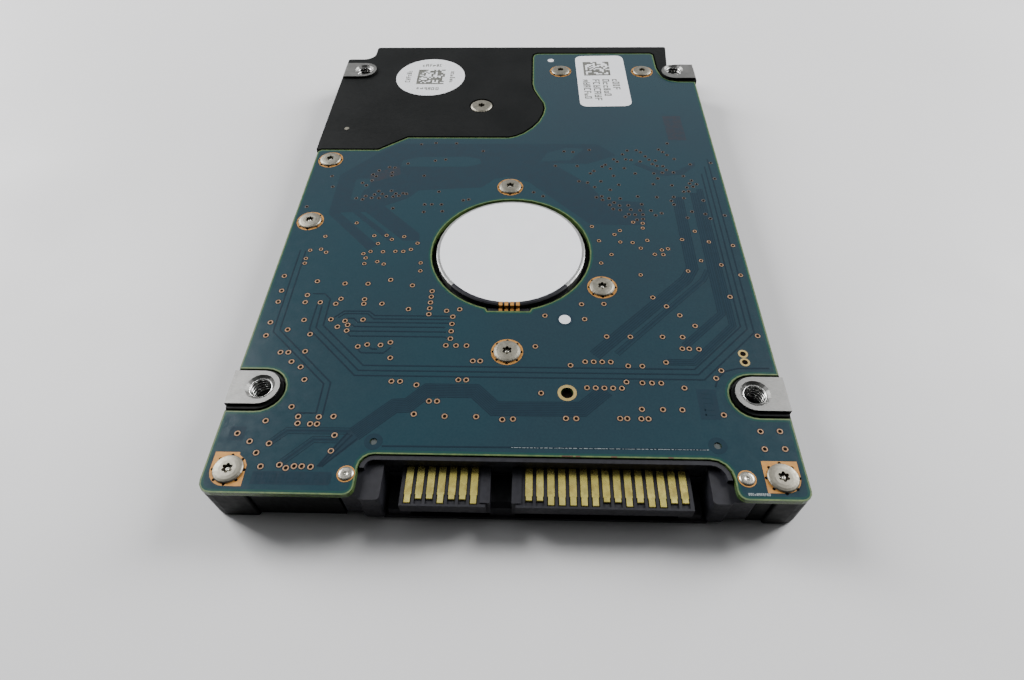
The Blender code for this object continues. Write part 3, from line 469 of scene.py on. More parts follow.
LARGE_TEST_PAD = (7.75, 14.0)
SMALL_TEST_PADS = ((30.72, 20.42), (30.72, 19.08))
PLATEAU_DOT = (-30.72, 70.7)
TRACE_LOOK = simple_look("mask_over_gap", (0.0085, 0.018, 0.028), (0.009, 0.021, 0.032), 0.17, spec=0.3)
BUS_LOOK = simple_look("mask_over_bus", (0.0105, 0.0255, 0.037), (0.0115, 0.0275, 0.040), 0.17, spec=0.3)
FIELD_LOOK = simple_look("mask_over_field", (0.013, 0.0265, 0.038), (0.012, 0.0285, 0.041), 0.17, spec=0.3)
# laminate colour lightened as a painted highlight along the board's cut edges
EDGE_HIGHLIGHT_LOOK = simple_look("laminate_edge_and_highlight", (0.050, 0.095, 0.035), (0.11, 0.15, 0.05), 0.45, per_mm=1.6,
                        spec=0.3)
BORDER_LOOK = simple_look("laminate_border", (0.009, 0.043, 0.040), (0.013, 0.053, 0.046), 0.2, spec=0.3)
FLECK_LOOK = simple_look("edge_fleck", (0.10, 0.022, 0.016), (0.05, 0.02, 0.015), 0.5, per_mm=3.0, spec=0.3)
TINT_LOOK = simple_look("mask_over_tin", (0.024, 0.027, 0.035), (0.014, 0.028, 0.040), 0.17, per_mm=1.4,
                        spec=0.3)
# pale print, and painted glints in a broken line behind the connector
PRINT_AND_GLINT_LOOK = simple_look("pale_print_and_glints", (0.34, 0.38, 0.38), (0.22, 0.26, 0.27), 0.5, per_mm=2.5)
# painted shade laid in the screws' driver recesses
RECESS_SHADE_LOOK = simple_look("recess_painted_shade", (0.03, 0.028, 0.024), (0.05, 0.046, 0.04), 0.5, 0.7, 3.0)
# painted highlight: the crests are far lighter than the holes' own bare metal
THREAD_GLINT_LOOK = simple_look("thread_crest_glint", (0.62, 0.615, 0.60), (0.48, 0.475, 0.46), 0.26, 1.0, 1.5)
PAD_LOOK = simple_look("pad_gold", (0.44, 0.215, 0.055), (0.36, 0.17, 0.045), 0.5, 0.2, 2.0, spec=0.2)
TEST_PAD_LOOK = simple_look("test_pad", (0.38, 0.29, 0.11), (0.29, 0.21, 0.08), 0.5, 0.2, 2.0, spec=0.2)
VIA_LOOK = simple_look("via_ring", (0.33, 0.20, 0.115), (0.24, 0.14, 0.075), 0.5, 0.2, 3.0, spec=0.2)
COVERED_VIA_LOOK = simple_look("via_ring_covered", (0.075, 0.055, 0.045), (0.045, 0.04, 0.04), 0.4,
                               per_mm=3.0, spec=0.3)
# painted shade: near-black discs stand in for the darkness down the drilled holes
HOLE_SHADE_LOOK = simple_look("drilled_hole_shade", (0.004, 0.003, 0.002), (0.007, 0.004, 0.003), 0.9, spec=0.05)
PEG_LOOK = simple_look("peg_resin", (0.035, 0.045, 0.045), (0.02, 0.028, 0.028), 0.6, per_mm=2.0)
# solder; also the painted reflection at the centre of each driver recess
SOLDER_AND_GLINT_LOOK = simple_look("solder", (0.50, 0.48, 0.42), (0.36, 0.35, 0.30), 0.28, 0.95, 1.5, 0.02)
PRINT_LOOK = simple_look("label_ink", (0.075, 0.075, 0.065), (0.13, 0.13, 0.115), 0.5)

# Plated holes, read from the photograph: x and y of each, by quarter of the board.
VIAS = {
    "near_left": [
        (-32.9, 33.7), (-27.8, 32.7), (-23.7, 32.3), (-20.35, 32.3), (-17.2, 33.1), (-13.9, 32.05),
        (-32.55, 30.8), (-32.5, 28.7), (-28.65, 30), (-28.65, 28.65), (-26.5, 28.65), (-23.7, 29.35),
        (-24.25, 28.4), (-20.35, 29.3), (-20.3, 28.45), (-17.75, 28.5), (-13.9, 27.55), (-8.55, 27.3),
        (-6.75, 27.6), (-32.6, 24.9), (-32.6, 22.6), (-28.05, 25.4), (-29.9, 23.65), (-24.35, 25.55),
        (-22.35, 25.3), (-21.85, 24.6), (-23.2, 24.25), (-21.8, 23.6), (-19.9, 25.55), (-26.65, 22.9),
        (-29.9, 19.8), (-28.85, 19.8), (-26.65, 20), (-28.05, 18.3), (-26.65, 17.45), (-25.7, 15.5),
        (-19.8, 20.9), (-18.6, 21.25), (-16.8, 21.2), (-15.55, 21.65), (-15.2, 19.1), (-14.5, 15.4),
        (-13.4, 15.4), (-11.25, 14.9), (-8.1, 21.25), (-6.75, 21.25), (-5.35, 21.25), (-4.35, 18.75),
        (-3.4, 18.75), (-6, 15.75), (-5, 15.75), (-9.4, 12.5), (-8.4, 12.5), (-11.05, 10.6),
        (-7.25, 10.35), (-3.4, 10.35), (-0.2, 10), (-26.35, 11.4), (-25.2, 10), (-25.05, 9.05),
        (-22.65, 10), (-20.85, 10.1), (-23.5, 9), (-22.65, 9), (-29.05, 9.35), (-32, 7.55),
        (-30.2, 6.5), (-27.8, 6.25), (-20.2, 7.5), (-20.2, 5.4), (-29, 5), (-28, 3.25), (-25.85, 3.5),
        (-25, 3.1), (-24.1, 3.35), (-23.2, 3.35), (-22.15, 3.3)],
    "near_right": [
        (10.15, 28.75), (13.25, 28.85), (5.05, 26.6), (10.45, 26.05), (13.25, 23.05), (16.4, 23.05),
        (20.65, 23.1), (23.3, 23.1), (20.15, 30.15), (21.85, 28.5), (23.45, 26.9), (25.25, 25.05),
        (30.9, 30.4), (33.25, 23.45), (23, 21.15), (23.9, 21.15), (25.15, 21.1), (3.75, 21.25),
        (8.3, 18.25), (15.7, 18.25), (17.5, 18.25), (20.6, 18.9), (27.45, 17.7), (26.6, 16.5),
        (15.25, 15.75), (17.25, 15.65), (18.45, 15.65), (19.6, 15.65), (22.4, 14.95), (4.5, 13.9),
        (16.8, 11.75), (19.35, 11.75), (21.7, 11.75), (26.6, 11.1), (1.1, 10.1), (7.5, 10.3),
        (8.75, 10.3), (14.05, 10.4), (14.9, 10.4), (16.6, 10.4), (17.45, 10.4), (30.5, 8.9),
        (32.8, 8.95), (30.5, 6.55), (32.85, 6.6)],
    "far_right": [
        (12.4, 44.8), (13.3, 41.6), (13.35, 36.85), (15, 38.65), (18.9, 34.5), (16.5, 41.35),
        (18.35, 41.25), (19.45, 40.05), (20.6, 41.75), (15.75, 43), (16.65, 43.9), (20.2, 44.5),
        (21.4, 38.75), (22.65, 38.7), (22.55, 39.7), (23.5, 39.95), (25.85, 42), (29.8, 41.5),
        (33.25, 40.75), (28, 37.5), (30.8, 36.65), (25.8, 35.35), (33.2, 34.6), (33.25, 47.55),
        (30.9, 46.8), (28.05, 43.85), (30.3, 47.85), (27.4, 46.95), (28.3, 48.4), (23.5, 48),
        (22.5, 47.5), (21.9, 48.6), (20.2, 48.65), (18.75, 48.8), (20.55, 47.65), (20.45, 46.6),
        (20.3, 45.6), (19.5, 46.4), (18.85, 45.85), (19.3, 47.6), (18.35, 47.7), (17.75, 47.1),
        (17.05, 48.7), (16, 48.95), (15.5, 49.9), (17.05, 49.8), (18.45, 49.85), (16.25, 50.5),
        (15.5, 51.55), (17.3, 51.5), (13.5, 51.8), (14.35, 52.05), (14.45, 51.15), (20.6, 50.1),
        (20.15, 52.05), (23.2, 51.9), (25.7, 50.1), (25.4, 51), (25.9, 51.95), (27.5, 51.7),
        (30.5, 51.1), (27.7, 53.3), (28.5, 53.4), (28.35, 54.4), (29.4, 54.6), (28.95, 55.4),
        (30.05, 55.25), (29.35, 56.2), (28.2, 57.35), (33.25, 56.7), (33.3, 60.95), (29.8, 60.55),
        (27.3, 62), (26.2, 63.15), (25.55, 64), (24.95, 64.7), (26.65, 66.5), (21.1, 64.5),
        (21.75, 63.9), (19.5, 64.4), (18.6, 63.3), (22.45, 62.75), (23, 61.8), (24.05, 61.55),
        (23.45, 60.6), (24.15, 60.1), (25.15, 60), (21.45, 61.3), (19.95, 61.7), (19.05, 61.9),
        (17, 61.9), (17.55, 61.25), (15.45, 60.35), (14.9, 59.85), (16.25, 59.3), (18.6, 59.45),
        (25.6, 59), (24.85, 58.25), (26.7, 58.3), (23.4, 58.05), (20.3, 58), (16.65, 57.35),
        (13.45, 58.65), (12.85, 58), (10.7, 60), (7, 60), (10.85, 55.9), (12.25, 55.55), (14.45, 55.9),
        (13.35, 54.4), (17.35, 55), (15.85, 53.7), (23, 55.2), (23.9, 56.7), (26, 54.9), (8.55, 64.1),
        (10.1, 63.95), (12.95, 64.55), (3.35, 53), (4.9, 52)],
    "far_left": [
        (-24.35, 45.3), (-28.65, 42.2), (-21.1, 42.4), (-19.2, 42.5), (-18.25, 41.6), (-16.45, 42.25),
        (-20.25, 40.65), (-14.2, 40.8), (-15.05, 39.45), (-16.15, 39), (-17.35, 39), (-19.2, 38.9),
        (-21.1, 38.95), (-22.1, 38.45), (-21.6, 37.55), (-21.6, 36.35), (-19.75, 36.8), (-18.7, 36.3),
        (-13.25, 36.6), (-13.1, 34.95), (-30.3, 39.1), (-28.7, 39.35), (-27.8, 38.7), (-30.55, 37.35),
        (-30.5, 36.35), (-14.1, 48), (-11.15, 48.2), (-19.15, 48.85), (-33.15, 49.15), (-8, 50.9),
        (-7.15, 51.1), (-14.15, 49.8), (-13, 49.85), (-11.45, 49.85), (-12.15, 53.05), (-29.95, 54.2),
        (-30.65, 57.05), (-25.15, 55.25), (-24.4, 54.6), (-18.2, 60.5), (-13.6, 61.35), (-11.85, 61.7),
        (-15.05, 57.2), (-5.5, 64.15), (-14, 66.5), (-10.35, 66.4), (-16.55, 66.1), (-25.5, 51.3),
        (-24.4, 51), (-24.05, 51.85), (-23, 51.4), (-21.8, 51.35), (-22.65, 52.25), (-22.1, 53.1),
        (-21.4, 52.4), (-20.65, 51.75), (-20, 53.2), (-19.5, 51.75), (-19.2, 52.5), (-18.6, 51.95),
        (-18, 52.6), (-17.45, 52.45), (-23.7, 55.9), (-23.15, 57), (-23.75, 57.5), (-22.9, 58.6),
        (-21.25, 59.5), (-20.3, 59.4), (-20.55, 58.05), (-20.55, 57.25)],
}
VIA_RADIUS = {"near_left": 0.37, "near_right": 0.36, "far_right": 0.31, "far_left": 0.31}
VIA_HOLE = 0.62                                  # a plated hole's radius as a share of its ring's
COVERED_Y = 46.0                                 # beyond this the rings lie under the mask
VIA_ROWS = [                                     # regular rows: first x and y, step in x and y, count, radius
    (-10.95, 26.65, 0.0, 1.08, 5, 0.37),
    (-7.6, 22.4, 0.0, 1.28, 4, 0.37),
    (10.2, 18.85, 1.1, 0.0, 4, 0.36),
    (10.25, 14.8, 1.09, 0.0, 5, 0.36),
]
LINES = [                                        # single traces
    [(-31.8, 39.2), (-31.8, 23.3), (-23.1, 14.9), (-23.1, 10.55), (-25.4, 10.55), (-25.7, 10.25)],
    [(-30.95, 39.0), (-30.95, 23.6), (-22.25, 15.1), (-22.25, 10.3)],
    [(-27.9, 30.3), (-26.2, 30.3), (-25.2, 29.3), (-25.2, 24.5), (-18.55, 17.85), (24.1, 17.85), (31.3, 25.0),
     (31.3, 58.0)],
    [(-26.15, 28.1), (-26.1, 24.05), (-19.05, 17.05), (24.5, 17.05), (32.1, 24.6), (32.1, 60.0)],
    [(-26.85, 28.2), (-26.95, 23.8), (-19.4, 16.25), (25.1, 16.25), (32.9, 24.0), (32.9, 62.0)],
    [(-24.0, 25.9), (-22.8, 27.1), (-19.3, 27.1), (-18.4, 26.35), (-8.0, 26.35)],
    [(-23.4, 25.9), (-22.6, 26.65), (-19.4, 26.65), (-18.5, 25.75), (-8.0, 25.75)],
    [(-22.1, 25.8), (-21.2, 25.8), (-20.6, 25.1), (-8.0, 25.1)],
    [(-21.4, 24.8), (-20.95, 24.35), (-8.5, 24.35)],
    [(-21.3, 23.55), (-8.3, 23.55)],
    [(-21.6, 23.2), (-21.2, 22.7), (-8.4, 22.7), (-8.0, 22.4)],
    [(-19.8, 20.5), (-19.2, 19.9), (-16.2, 19.9), (-15.4, 20.9)],
    [(-18.2, 20.8), (-17.9, 20.55), (-17.2, 20.55)],
    [(-14.3, 6.15), (0.0, 6.25), (23.9, 6.35)],
    [(-21.4, 3.4), (-18.7, 7.9)],
    [(-21.15, 3.4), (-18.1, 7.6)],
    [(-20.9, 3.4), (-17.4, 7.1)],
    [(26.3, 15.2), (26.8, 16.5), (27.9, 17.6), (29.6, 18.1), (33.6, 18.15)],
]
BUSES = [                                        # bands of close traces: route, wires, pitch, band width
    ([(-17.85, 7.7), (-13.6, 11.75), (-12.0, 11.85), (-9.75, 14.1), (-3.75, 14.1), (-1.2, 11.55),
      (9.55, 11.65), (12.6, 14.5)], 8, 0.25, 1.95),
    ([(-27.6, 6.5), (-26.05, 8.05), (-18.4, 8.1)], 2, 0.42, 0.5),
    ([(-25.7, 3.8), (-22.6, 6.9), (-19.6, 6.9)], 2, 0.42, 0.5),
    ([(11.5, 19.9), (25.3, 33.7), (26.5, 35.9), (26.5, 52.0)], 5, 0.33, 1.5),
    ([(14.4, 20.2), (27.7, 33.6), (28.7, 35.6)], 2, 0.4, 0.5),
    ([(20.9, 18.95), (24.2, 18.95), (30.3, 25.15), (30.3, 54.0)], 3, 0.3, 0.75),
    ([(23.4, 21.6), (29.2, 27.3), (29.2, 53.0)], 3, 0.33, 0.9),
]
FIELDS = [                                       # broad areas where the copper below is cut away
    [(-21.5, 3.3), (-20.8, 3.3), (-17.1, 7.05), (-18.5, 8.4)],
    [(-29.3, 47.6), (-29.3, 57.4), (-24.0, 63.2), (-20.4, 66.3), (14.5, 66.3), (17.5, 63.0), (12.5, 60.6),
     (6.3, 60.8), (12.4, 55.2), (14.6, 51.2), (20.9, 50.6), (20.9, 45.2), (14.6, 45.2), (11.9, 45.6),
     (5.3, 52.7), (2.6, 55.6), (-1.0, 57.0), (-3.2, 56.4), (-5.2, 54.2), (-15.5, 53.4), (-17.0, 51.4),
     (-20.6, 49.4), (-14.2, 43.0), (-14.0, 41.4), (-16.6, 41.4), (-20.2, 44.9), (-23.3, 47.9), (-25.6, 47.9)],
    [(-29.2, 47.4), (-28.3, 48.6), (-20.2, 40.3), (-21.6, 39.2)],
    [(-25.4, 47.8), (-24.6, 48.2), (-17.9, 41.8), (-18.7, 41.2)],
    [(20.2, 60.5), (24.6, 57.4), (28.2, 57.8), (30.6, 60.2), (30.6, 61.2), (27.5, 58.9), (24.8, 58.6),
     (21.0, 61.2)],
]
ISLANDS = [                                      # copper left standing inside those areas
    [(-19.3, 59.7), (-19.3, 61.4), (-16.5, 62.4), (-8.0, 62.5), (-6.0, 61.9), (-5.6, 60.6), (-8.0, 59.7)],
    [(-26.4, 50.9), (-26.4, 56.0), (-25.6, 56.4), (-23.7, 56.4), (-23.9, 53.9), (-24.6, 53.4), (-24.9, 50.9)],
    [(4.4, 61.2), (5.6, 63.6), (9.0, 65.2), (12.0, 64.9), (9.5, 61.6)],
]


def board_artwork():
    """Copper pattern under the mask; each shape has its own height, so that none share a plane."""
    fields, islands = Shape(), Shape()
    for k, outline in enumerate(FIELDS):
        fields.prism(outline, TOP - ROOT, TOP + 0.002 + STEP * k)
    for k, outline in enumerate(ISLANDS):
        islands.prism(outline, TOP - ROOT, TOP + 0.005 + STEP * k)
    fields.piece("art_fields", FIELD_LOOK)
    islands.piece("art_islands", LOOKS["board"])
    bands, lines = Shape(), Shape()
    for k, (route, wires, pitch, width) in enumerate(BUSES):
        bands.ribbon(route, width, TOP - ROOT, TOP + 0.0065 - STEP * k)
        for wire in spread(route, wires + 1, pitch):
            lines.ribbon(wire, 0.09, TOP - ROOT, TOP + 0.010 - STEP * k)
    for k, route in enumerate(LINES):
        lines.ribbon(route, 0.2, TOP - ROOT, TOP + INK + STEP * k)
    bands.piece("art_buses", BUS_LOOK)
    lines.piece("art_traces", TRACE_LOOK)


def surface_marks():
    """Pale broken line behind the connector, painted glints along the trace there; small pale print, red
    flecks on the board's edge there, and tinted areas.
    """
    rng = random.Random(3)
    pale = Shape()
    # painted highlight: random pale dashes stand in for glints along the trace
    x, end = 1.0, 23.9
    while x < end:
        dash = rng.uniform(0.12, 0.5)
        pale.bars([(x, 6.19 + 0.004 * x, dash, rng.uniform(0.025, 0.06))], TOP - ROOT, TOP + 0.02)
        x += dash + rng.uniform(0.03, 0.22)
    pale.bars(text_marks(rng, 27.5, 0.72, 2.3, 0.3), TOP - ROOT, TOP + 0.02)
    pale.piece("pale_marks", PRINT_AND_GLINT_LOOK)
    flecks = Shape()
    for x, length in ((6.9, 1.3), (8.5, 0.5), (12.6, 0.7), (19.2, 0.6)):
        flecks.bars([(x, WINDOW_Y + 0.03, length, 0.12)], TOP - ROOT, TOP + 0.015)
    flecks.piece("edge_flecks", FLECK_LOOK)
    tint = Shape().prism([(27.0, 67.5), (30.2, 67.5), (30.0, 75.0), (26.8, 75.0)], TOP - ROOT, TOP + 0.004)
    tint.prism([(-24.2, 55.0), (-19.0, 57.6), (-19.6, 59.9), (-24.2, 57.6)], TOP - ROOT, TOP + 0.0045)
    tint.piece("art_tint", TINT_LOOK)


def via_field():
    """Plated holes: a copper ring round a well painted dark as painted shade, and a dark halo where the ring
    is bare of mask.
    """
    rings, covered, halos, wells = Shape(), Shape(), Shape(), Shape()
    spots = [(x, y, VIA_RADIUS[area]) for area, points in VIAS.items() for x, y in points]
    for x, y, dx, dy, count, r in VIA_ROWS:
        spots += [(x + dx * k, y + dy * k, r) for k in range(count)]
    low, rim, crown = TOP - DEEP_ROOT, TOP + 0.014, TOP + 0.024
    for x, y, r in spots:
        hole = r * VIA_HOLE
        bare = y < COVERED_Y
        ring = rings if bare else covered
        profile = [(hole, low), (r, low), (r, rim), (r - 0.05, crown), (hole + 0.03, crown), (hole, rim)]
        ring.turned(x, y, profile, 16)
        if bare:
            halos.ring(x, y, r + 0.01, r + 0.11, low, TOP + 0.0125, 16)
        wells.disc(x, y, hole + 0.02, low, TOP + 0.009, 12)
    rings.piece("via_rings", VIA_LOOK)
    covered.piece("via_rings_covered", COVERED_VIA_LOOK)
    halos.piece("via_halos", TRACE_LOOK)
    wells.piece("via_wells", HOLE_SHADE_LOOK)


def loops_of(node, level):
    """Closed outlines of a node's level top face, as lists of (x, y), with the material on their left."""
    mesh = NODES[node].data
    points = [(round(v.co.x / MM, 3), round(v.co.y / MM + Y_SHIFT, 3)) for v in mesh.vertices]
    edges = {}
    for face in mesh.polygons:
        if face.normal.z > 0.9 and abs(face.center.z / MM - level) < 0.02:
            corners = [points[i] for i in face.vertices]
            edges.update(dict.fromkeys(zip(corners, corners[1:] + corners[:1])))
    border = {}
    for a, b in edges:
        if (b, a) not in edges:
            border.setdefault(a, []).append(b)
    loops = []
    while border:
        start = next(iter(border))
        loop, here = [], start
        while not loop or here != start:
            loop.append(here)
            after = border[here].pop()
            if not border[here]:
                del border[here]
            here = after
        loops.append(loop)
    return loops


def board_border():
    """Along each cut edge the bare laminate shows: a bright line, laminate lightened as a painted highlight
    on the edge's corner, then a dark green strip.
    """
    loops = [[p for i, p in enumerate(loop) if math.dist(p, loop[i - 1]) > SAME_POINT]
             for loop in loops_of("circuit_board", TOP)]
    wide = [loop for loop in loops if max(p[0] for p in loop) - min(p[0] for p in loop) > NARROWEST_BORDERED]
    for name, look, start, end, rise in (("board_edge_highlight", EDGE_HIGHLIGHT_LOOK, 0.0, 0.19, 0.008),
                                         ("board_edge_strip", BORDER_LOOK, 0.19, 0.46, 0.0035)):
        border = Shape()
        for loop in wide:
            outer, inner = shifted(loop, start, closed=True), shifted(loop, end, closed=True)
            border.strip(outer, inner, TOP - 0.01, TOP + rise, closed=True)
        border.piece(name, look)


def screw_pads():
    """Gold pads with small wells round the board's screws, and the test pads; the wells are painted dark as
    painted shade.
    """
    rings, wells = Shape(), Shape()
    pad_top, wells_each, wells_reach = TOP + 0.016, 8, 1.86
    for index, (x, y) in BOARD_SCREWS.items():
        if index == NEAR_LEFT_SCREW:
            pad = [(x - 2.15, y - 2.05, 2.1), (x + 2.05, y - 2.05, 0), (x + 2.0, y + 0.6, 0),
                   (x + 1.6, y + 1.3, 0), (x + 0.8, y + 1.9, 0), (x + 0.75, y + 2.25, 0),
                   (x - 2.15, y + 2.25, 0)]
            rings.prism(rounded(pad), TOP - ROOT, pad_top)
        elif index == NEAR_RIGHT_SCREW:
            pad = [(x - 2.05, y - 1.85, 0), (x + 2.0, y - 1.85, 2.0), (x + 2.0, y + 2.1, 0),
                   (x - 2.05, y + 2.1, 0)]
            rings.prism(rounded(pad), TOP - ROOT, pad_top)
        else:
            rings.ring(x, y, 1.0, 2.12, TOP - ROOT, pad_top, 40)
        for k in range(wells_each):
            a = 2 * math.pi * k / wells_each
            at = x + wells_reach * math.cos(a), y + wells_reach * math.sin(a)
            wells.disc(*at, 0.19, TOP - ROOT, TOP + 0.019, 10)
    tests = Shape().ring(*LARGE_TEST_PAD, 0.8, 1.2, TOP - 0.3, TOP + 0.02, 36)
    for spot in SMALL_TEST_PADS:
        tests.ring(*spot, 0.38, 0.64, TOP - ROOT, TOP + 0.02, 24)
        wells.disc(*spot, 0.4, TOP - ROOT, TOP + 0.01, 20)
    tests.piece("test_pads", TEST_PAD_LOOK)
    wells.disc(*LARGE_TEST_PAD, 0.76, TOP - 0.9, TOP - 0.5, 24)
    rings.piece("screw_pads", PAD_LOOK)
    wells.piece("pad_wells", HOLE_SHADE_LOOK)


def solder_tabs():
    """Solder domes on the connector's tabs."""
    rim, dome = Shape(), Shape()
    profile = [(0.02, TOP - ROOT), (0.9, TOP - ROOT), (0.88, TOP + 0.08), (0.6, TOP + 0.13),
               (0.35, TOP + 0.10), (0.02, TOP + 0.16)]
    for x, y in TABS:
        rim.ring(x, y, 0.7, 1.04, TOP - ROOT, TOP + 0.03, 32)
        dome.turned(x, y, profile, 28)
    rim.piece("tab_pads", PAD_LOOK)
    dome.piece("tab_solder", SOLDER_AND_GLINT_LOOK, smooth=True)


def dots_and_pegs():
    """White paint dots, the connector's pegs in their holes, and the dot on the casting."""
    spot = Shape()
    spot.disc(*PAINT_DOT, 0.8, TOP - ROOT, TOP + 0.03, 32)
    spot.disc(*FAR_PAINT_DOT, 0.62, TOP - ROOT, TOP + 0.03, 28)
    spot.piece("paint_dots", LOOKS["label"])
    halo, pegs = Shape(), Shape()
    for x, y in PEGS:
        halo.ring(x, y, 0.46, 1.1, TOP - ROOT, TOP + INK * 0.8, 28)
        pegs.disc(x, y, 0.4, TOP - 0.6, TOP - 0.12, 24)
    halo.ring(*PAINT_DOT, 0.8, 1.15, TOP - ROOT, TOP + INK * 0.5, 28)
    halo.piece("peg_halos", BUS_LOOK)
    pegs.piece("board_pegs", PEG_LOOK)
    small = Shape().disc(*PLATEAU_DOT, 0.42, PLATEAU - ROOT, PLATEAU + 0.05, 24)
    small.piece("plateau_dot", LOOKS["screw"], slot="base_casting")


def screw_recesses():
    """Painted shade as a dark star on each driver recess's floor, and a painted reflection as a bright
    centre.
    """
    dark, centre = Shape(), Shape()
    profile = [(0.01, TOP), (0.36, TOP), (0.3, TOP + 0.1), (0.16, TOP + 0.16), (0.01, TOP + 0.12)]
    for x, y in BOARD_SCREWS.values():
        # painted shade: dark star over the recess floor
        dark.prism(star(x, y, 0.45, 0.64), SCREW_FLOOR, TOP + 0.03)
        # painted reflection: bright cone at the recess's centre
        centre.turned(x, y, profile, 16)
    dark.prism(star(*seat("pivot_screw")[:2], 0.45, 0.64), PIVOT_FLOOR, PIVOT_FLOOR + 0.02)
    dark.piece("recess_shade_stars", RECESS_SHADE_LOOK, slot="board_screw_1")
    centre.piece("recess_glints", SOLDER_AND_GLINT_LOOK, slot="board_screw_1", smooth=True)


def thread_crests():
    """Crests down each mounting hole, lightened as a painted highlight, over its wall painted dark as painted
    shade.
    """
    crests = Shape()
    pitch, depth, first = 0.5, 2.6, BOSS_TOP - 0.5
    for x, y in HOLES:
        for k in range(int(depth / pitch)):
            z = first - pitch * k
            profile = [(1.21, z), (1.32, z - 0.13), (1.45, z - 0.2), (1.45, z + 0.2), (1.32, z + 0.13)]
            crests.turned(x, y, profile, 40)
    crests.piece("thread_crests", THREAD_GLINT_LOOK, slot="base_casting", smooth=True)


# ------------------------------------------------------------------ printed marks
LABEL_TURN = 1.4                                 # the board's label is this many degrees askew


def code_marks(rng, x, y, cells, cell):
    """Generic square code: two full edges and a grid of random cells."""
    marks = []
    for i in range(cells):
        for j in range(cells):
            if i == 0 or j == 0 or rng.random() < 0.5:
                marks.append((x + i * cell, y + j * cell, cell, cell))
    return marks


def text_marks(rng, x, y, length, height):
    """A line of generic strokes that reads as small print without being letters."""
    marks, at, pen = [], 0.0, height * 0.17
    while at < length:
        stroke = height * rng.choice((0.26, 0.36, 0.44))
        tall = height * rng.choice((1.0, 1.0, 0.6))
        marks.append((x + at, y, pen, tall))
        if rng.random() < 0.5:
            marks.append((x + at + stroke, y, pen, tall))
        for level in rng.sample((0.0, 0.4, 0.83), 2):
            marks.append((x + at, y + tall * level, stroke + pen, pen))
        at += stroke + height * rng.choice((0.34, 0.38, 0.44))
    return marks


def label_print(rng):
    """Square code and lines of print on the two labels."""
    ink = Shape()
    x, y, top = seat("round_label")
    span = top - 0.01, top + 0.01
    ink.bars(code_marks(rng, -2.6, -2.7, 14, 0.385), *span, (x, y))
    for degrees in (0, 90, 180, 270):
        ink.bars(text_marks(rng, -2.0, 3.9, 4.0, 0.95), *span, (x, y), degrees)
    x, y, top = seat("board_label")
    span = top - 0.01, top + 0.01
    ink.bars(code_marks(rng, -3.4, 1.7, 13, 0.4), *span, (x, y), LABEL_TURN)
    for column, length in ((-3.2, 3.6), (-1.3, 5.8), (0.6, 6.6), (2.5, 6.8)):
        ink.bars(text_marks(rng, -0.2, -column - 1.3, length, 1.35), *span, (x, y), LABEL_TURN - 90)
    ink.piece("label_print", PRINT_LOOK, slot="round_label")


def board_marks(rng):
    """Boxed and etched marks on the board, which form no letters."""
    shade = Shape()
    for x0, y0, x1, y1 in ((-28.7, 1.05, -19.6, 2.7), (-33.0, 6.6, -31.1, 8.5), (23.8, 10.45, 26.2, 14.8)):
        shade.prism([(x0, y0), (x1, y0), (x1, y1), (x0, y1)], TOP - ROOT, TOP + INK * 0.4)
    shade.piece("art_boxes", FIELD_LOOK)
    etched = Shape()
    etched.bars(text_marks(rng, -28.3, 1.3, 8.4, 1.15), TOP - ROOT, TOP + INK)
    for y in (11.0, 11.7, 12.7, 13.4, 14.1):
        etched.bars([(24.4, y, 1.2, 0.16)], TOP - ROOT, TOP + INK)
    etched.bars([(24.4, 11.0, 0.16, 1.6), (25.45, 12.6, 0.16, 1.6)], TOP - ROOT, TOP + INK)
    etched.piece("art_marks", BUS_LOOK)


# ------------------------------------------------------------------ motor surround and flex
def motor_details():
    """Black arc of flange in front of the motor's seal, and the flex's four copper stripes on their bed."""
    top = seat("motor_label")[2]
    profile = [(10.62, top - 0.25), (11.1, top - 0.25), (11.13, top - 0.9), (11.2, top - 0.9),
               (11.2, top - 0.1), (11.0, top + 0.03), (10.62, top + 0.03)]
    flange = Shape().turned(*SPIN, profile, 60, start=222, sweep=96)
    flange.piece("motor_flange", LOOKS["housing"], slot="motor_base")
    corners = [(-2.9, 27.55, 0.2), (2.9, 27.55, 0.2), (2.9, 28.06, 0), (-2.9, 28.06, 0)]
    bed = Shape().prism(rounded(corners), 5.3, 6.25)
    bed.piece("flex_bed", LOOKS["housing"], slot="motor_flex")
    stripes = Shape()
    first, pitch, width = -1.35, 0.8, 0.5
    for k in range(4):
        x = first + pitch * k
        for y0, y1, low, high in ((27.5, 28.08, 6.2, 6.42), (28.04, 28.74, 6.3, top + 0.05)):
            stripes.prism([(x, y0), (x + width, y0), (x + width, y1), (x, y1)], low, high)
    stripes.piece("flex_stripes", PAD_LOOK, slot="motor_flex")


# ------------------------------------------------------------------ stage (metres, degrees, watts)
FLOOR_HALF = 1.5
FLOOR_GAP = 0.00005                              # the floor lies this far under the lid's plane
WORLD_COLOUR = (0.96, 0.98, 1.0, 1)
WORLD_FADE = {"From Min": -0.45, "From Max": 0.8, "To Min": 0.015, "To Max": 0.52}
LAMPS = (                                        # name, place of the right-hand lamp, target, size, power
    ("back", (0.50, 0.29, 0.33), (0, 0.11, 0), (0.26, 0.38), 7.3),
    ("side", (0.66, 0.12, 0.36), (0, 0.10, 0), (0.40, 0.40), 0.8),
)
LAMP_SIDES = ((-1, 1.0), (1, 0.94))              # left and right, with each side's share of the power
CAMERA_AT = place(3.1, -29.6, 72.5)
CAMERA_TURN = (38.2, 0.92, 1.54)
CAMERA_SENSOR, CAMERA_LENS = 36.0, 22.17         # millimetres
CAMERA_CLIP = (0.005, 10)


def floor_look():
    """Pale matt table top."""
    look = Look("floor_pale", (0.72, 0.715, 0.72), rough=0.55, spec=0.25)
    look.mottle(0.012, (0.67, 0.67, 0.675), 0.5)
    return look.roughness(0.03, 0.45, 0.62).bump(0.6, 0.02, 0.05).mat


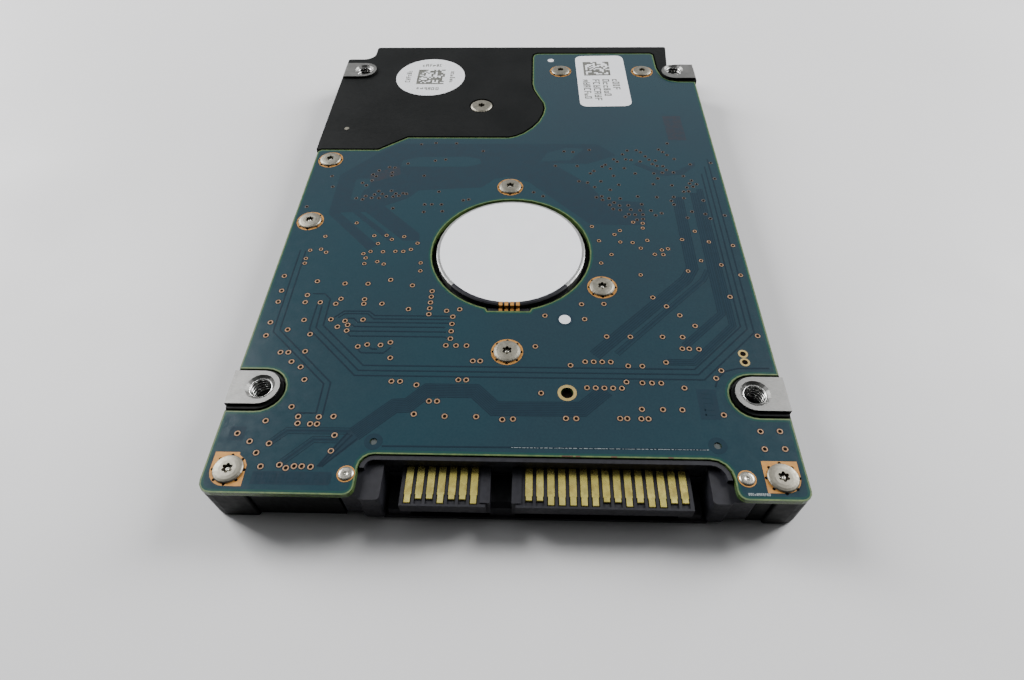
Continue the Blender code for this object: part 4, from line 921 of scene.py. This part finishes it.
def stage():
    """A plain floor that fills the view."""
    mesh = bpy.data.meshes.new("floor")
    corners = [(-1, -1), (1, -1), (1, 1), (-1, 1)]
    mesh.from_pydata([(x * FLOOR_HALF, y * FLOOR_HALF, 0) for x, y in corners], [], [(0, 1, 2, 3)])
    floor = bpy.data.objects.new("floor", mesh)
    floor.location.z = -FLOOR_GAP
    bpy.context.scene.collection.objects.link(floor)
    mesh.materials.append(floor_look())


def area_light(name, at, target, size, power):
    """Rectangular lamp that faces its target."""
    data = bpy.data.lights.new(name, "AREA")
    data.shape, data.size, data.size_y = "RECTANGLE", size[0], size[1]
    data.energy = power
    lamp = bpy.data.objects.new(name, data)
    lamp.location = at
    lamp.rotation_euler = (Vector(target) - Vector(at)).to_track_quat("-Z", "Y").to_euler()
    bpy.context.scene.collection.objects.link(lamp)


def lights():
    """Soft room light from above and behind: brighter away from the connector end, dim before it."""
    world = bpy.data.worlds.new("studio")
    world.use_nodes = True
    tree = world.node_tree
    background = tree.nodes["Background"]
    coords = tree.nodes.new("ShaderNodeTexCoord").outputs["Generated"]
    split = tree.nodes.new("ShaderNodeSeparateXYZ")
    tree.links.new(coords, split.inputs[0])
    fade = tree.nodes.new("ShaderNodeMapRange")
    for key, number in WORLD_FADE.items():
        fade.inputs[key].default_value = number
    tree.links.new(split.outputs["Y"], fade.inputs["Value"])
    tree.links.new(fade.outputs["Result"], background.inputs["Strength"])
    background.inputs["Color"].default_value = WORLD_COLOUR
    bpy.context.scene.world = world
    for side, share in LAMP_SIDES:
        for name, (x, y, z), target, size, power in LAMPS:
            area_light(f"{name}_{side}", (side * x, y, z), target, size, power * share)


def camera():
    """The photograph's viewpoint."""
    data = bpy.data.cameras.new("camera")
    data.sensor_width, data.lens = CAMERA_SENSOR, CAMERA_LENS
    data.clip_start, data.clip_end = CAMERA_CLIP
    cam = bpy.data.objects.new("camera", data)
    cam.location = CAMERA_AT
    cam.rotation_euler = [math.radians(angle) for angle in CAMERA_TURN]
    bpy.context.scene.collection.objects.link(cam)
    bpy.context.scene.camera = cam


dress_nodes()
board_artwork()
surface_marks()
board_border()
via_field()
screw_pads()
screw_recesses()
thread_crests()
solder_tabs()
dots_and_pegs()
print_rng = random.Random(7)
label_print(print_rng)
board_marks(print_rng)
motor_details()
stage()
lights()
camera()
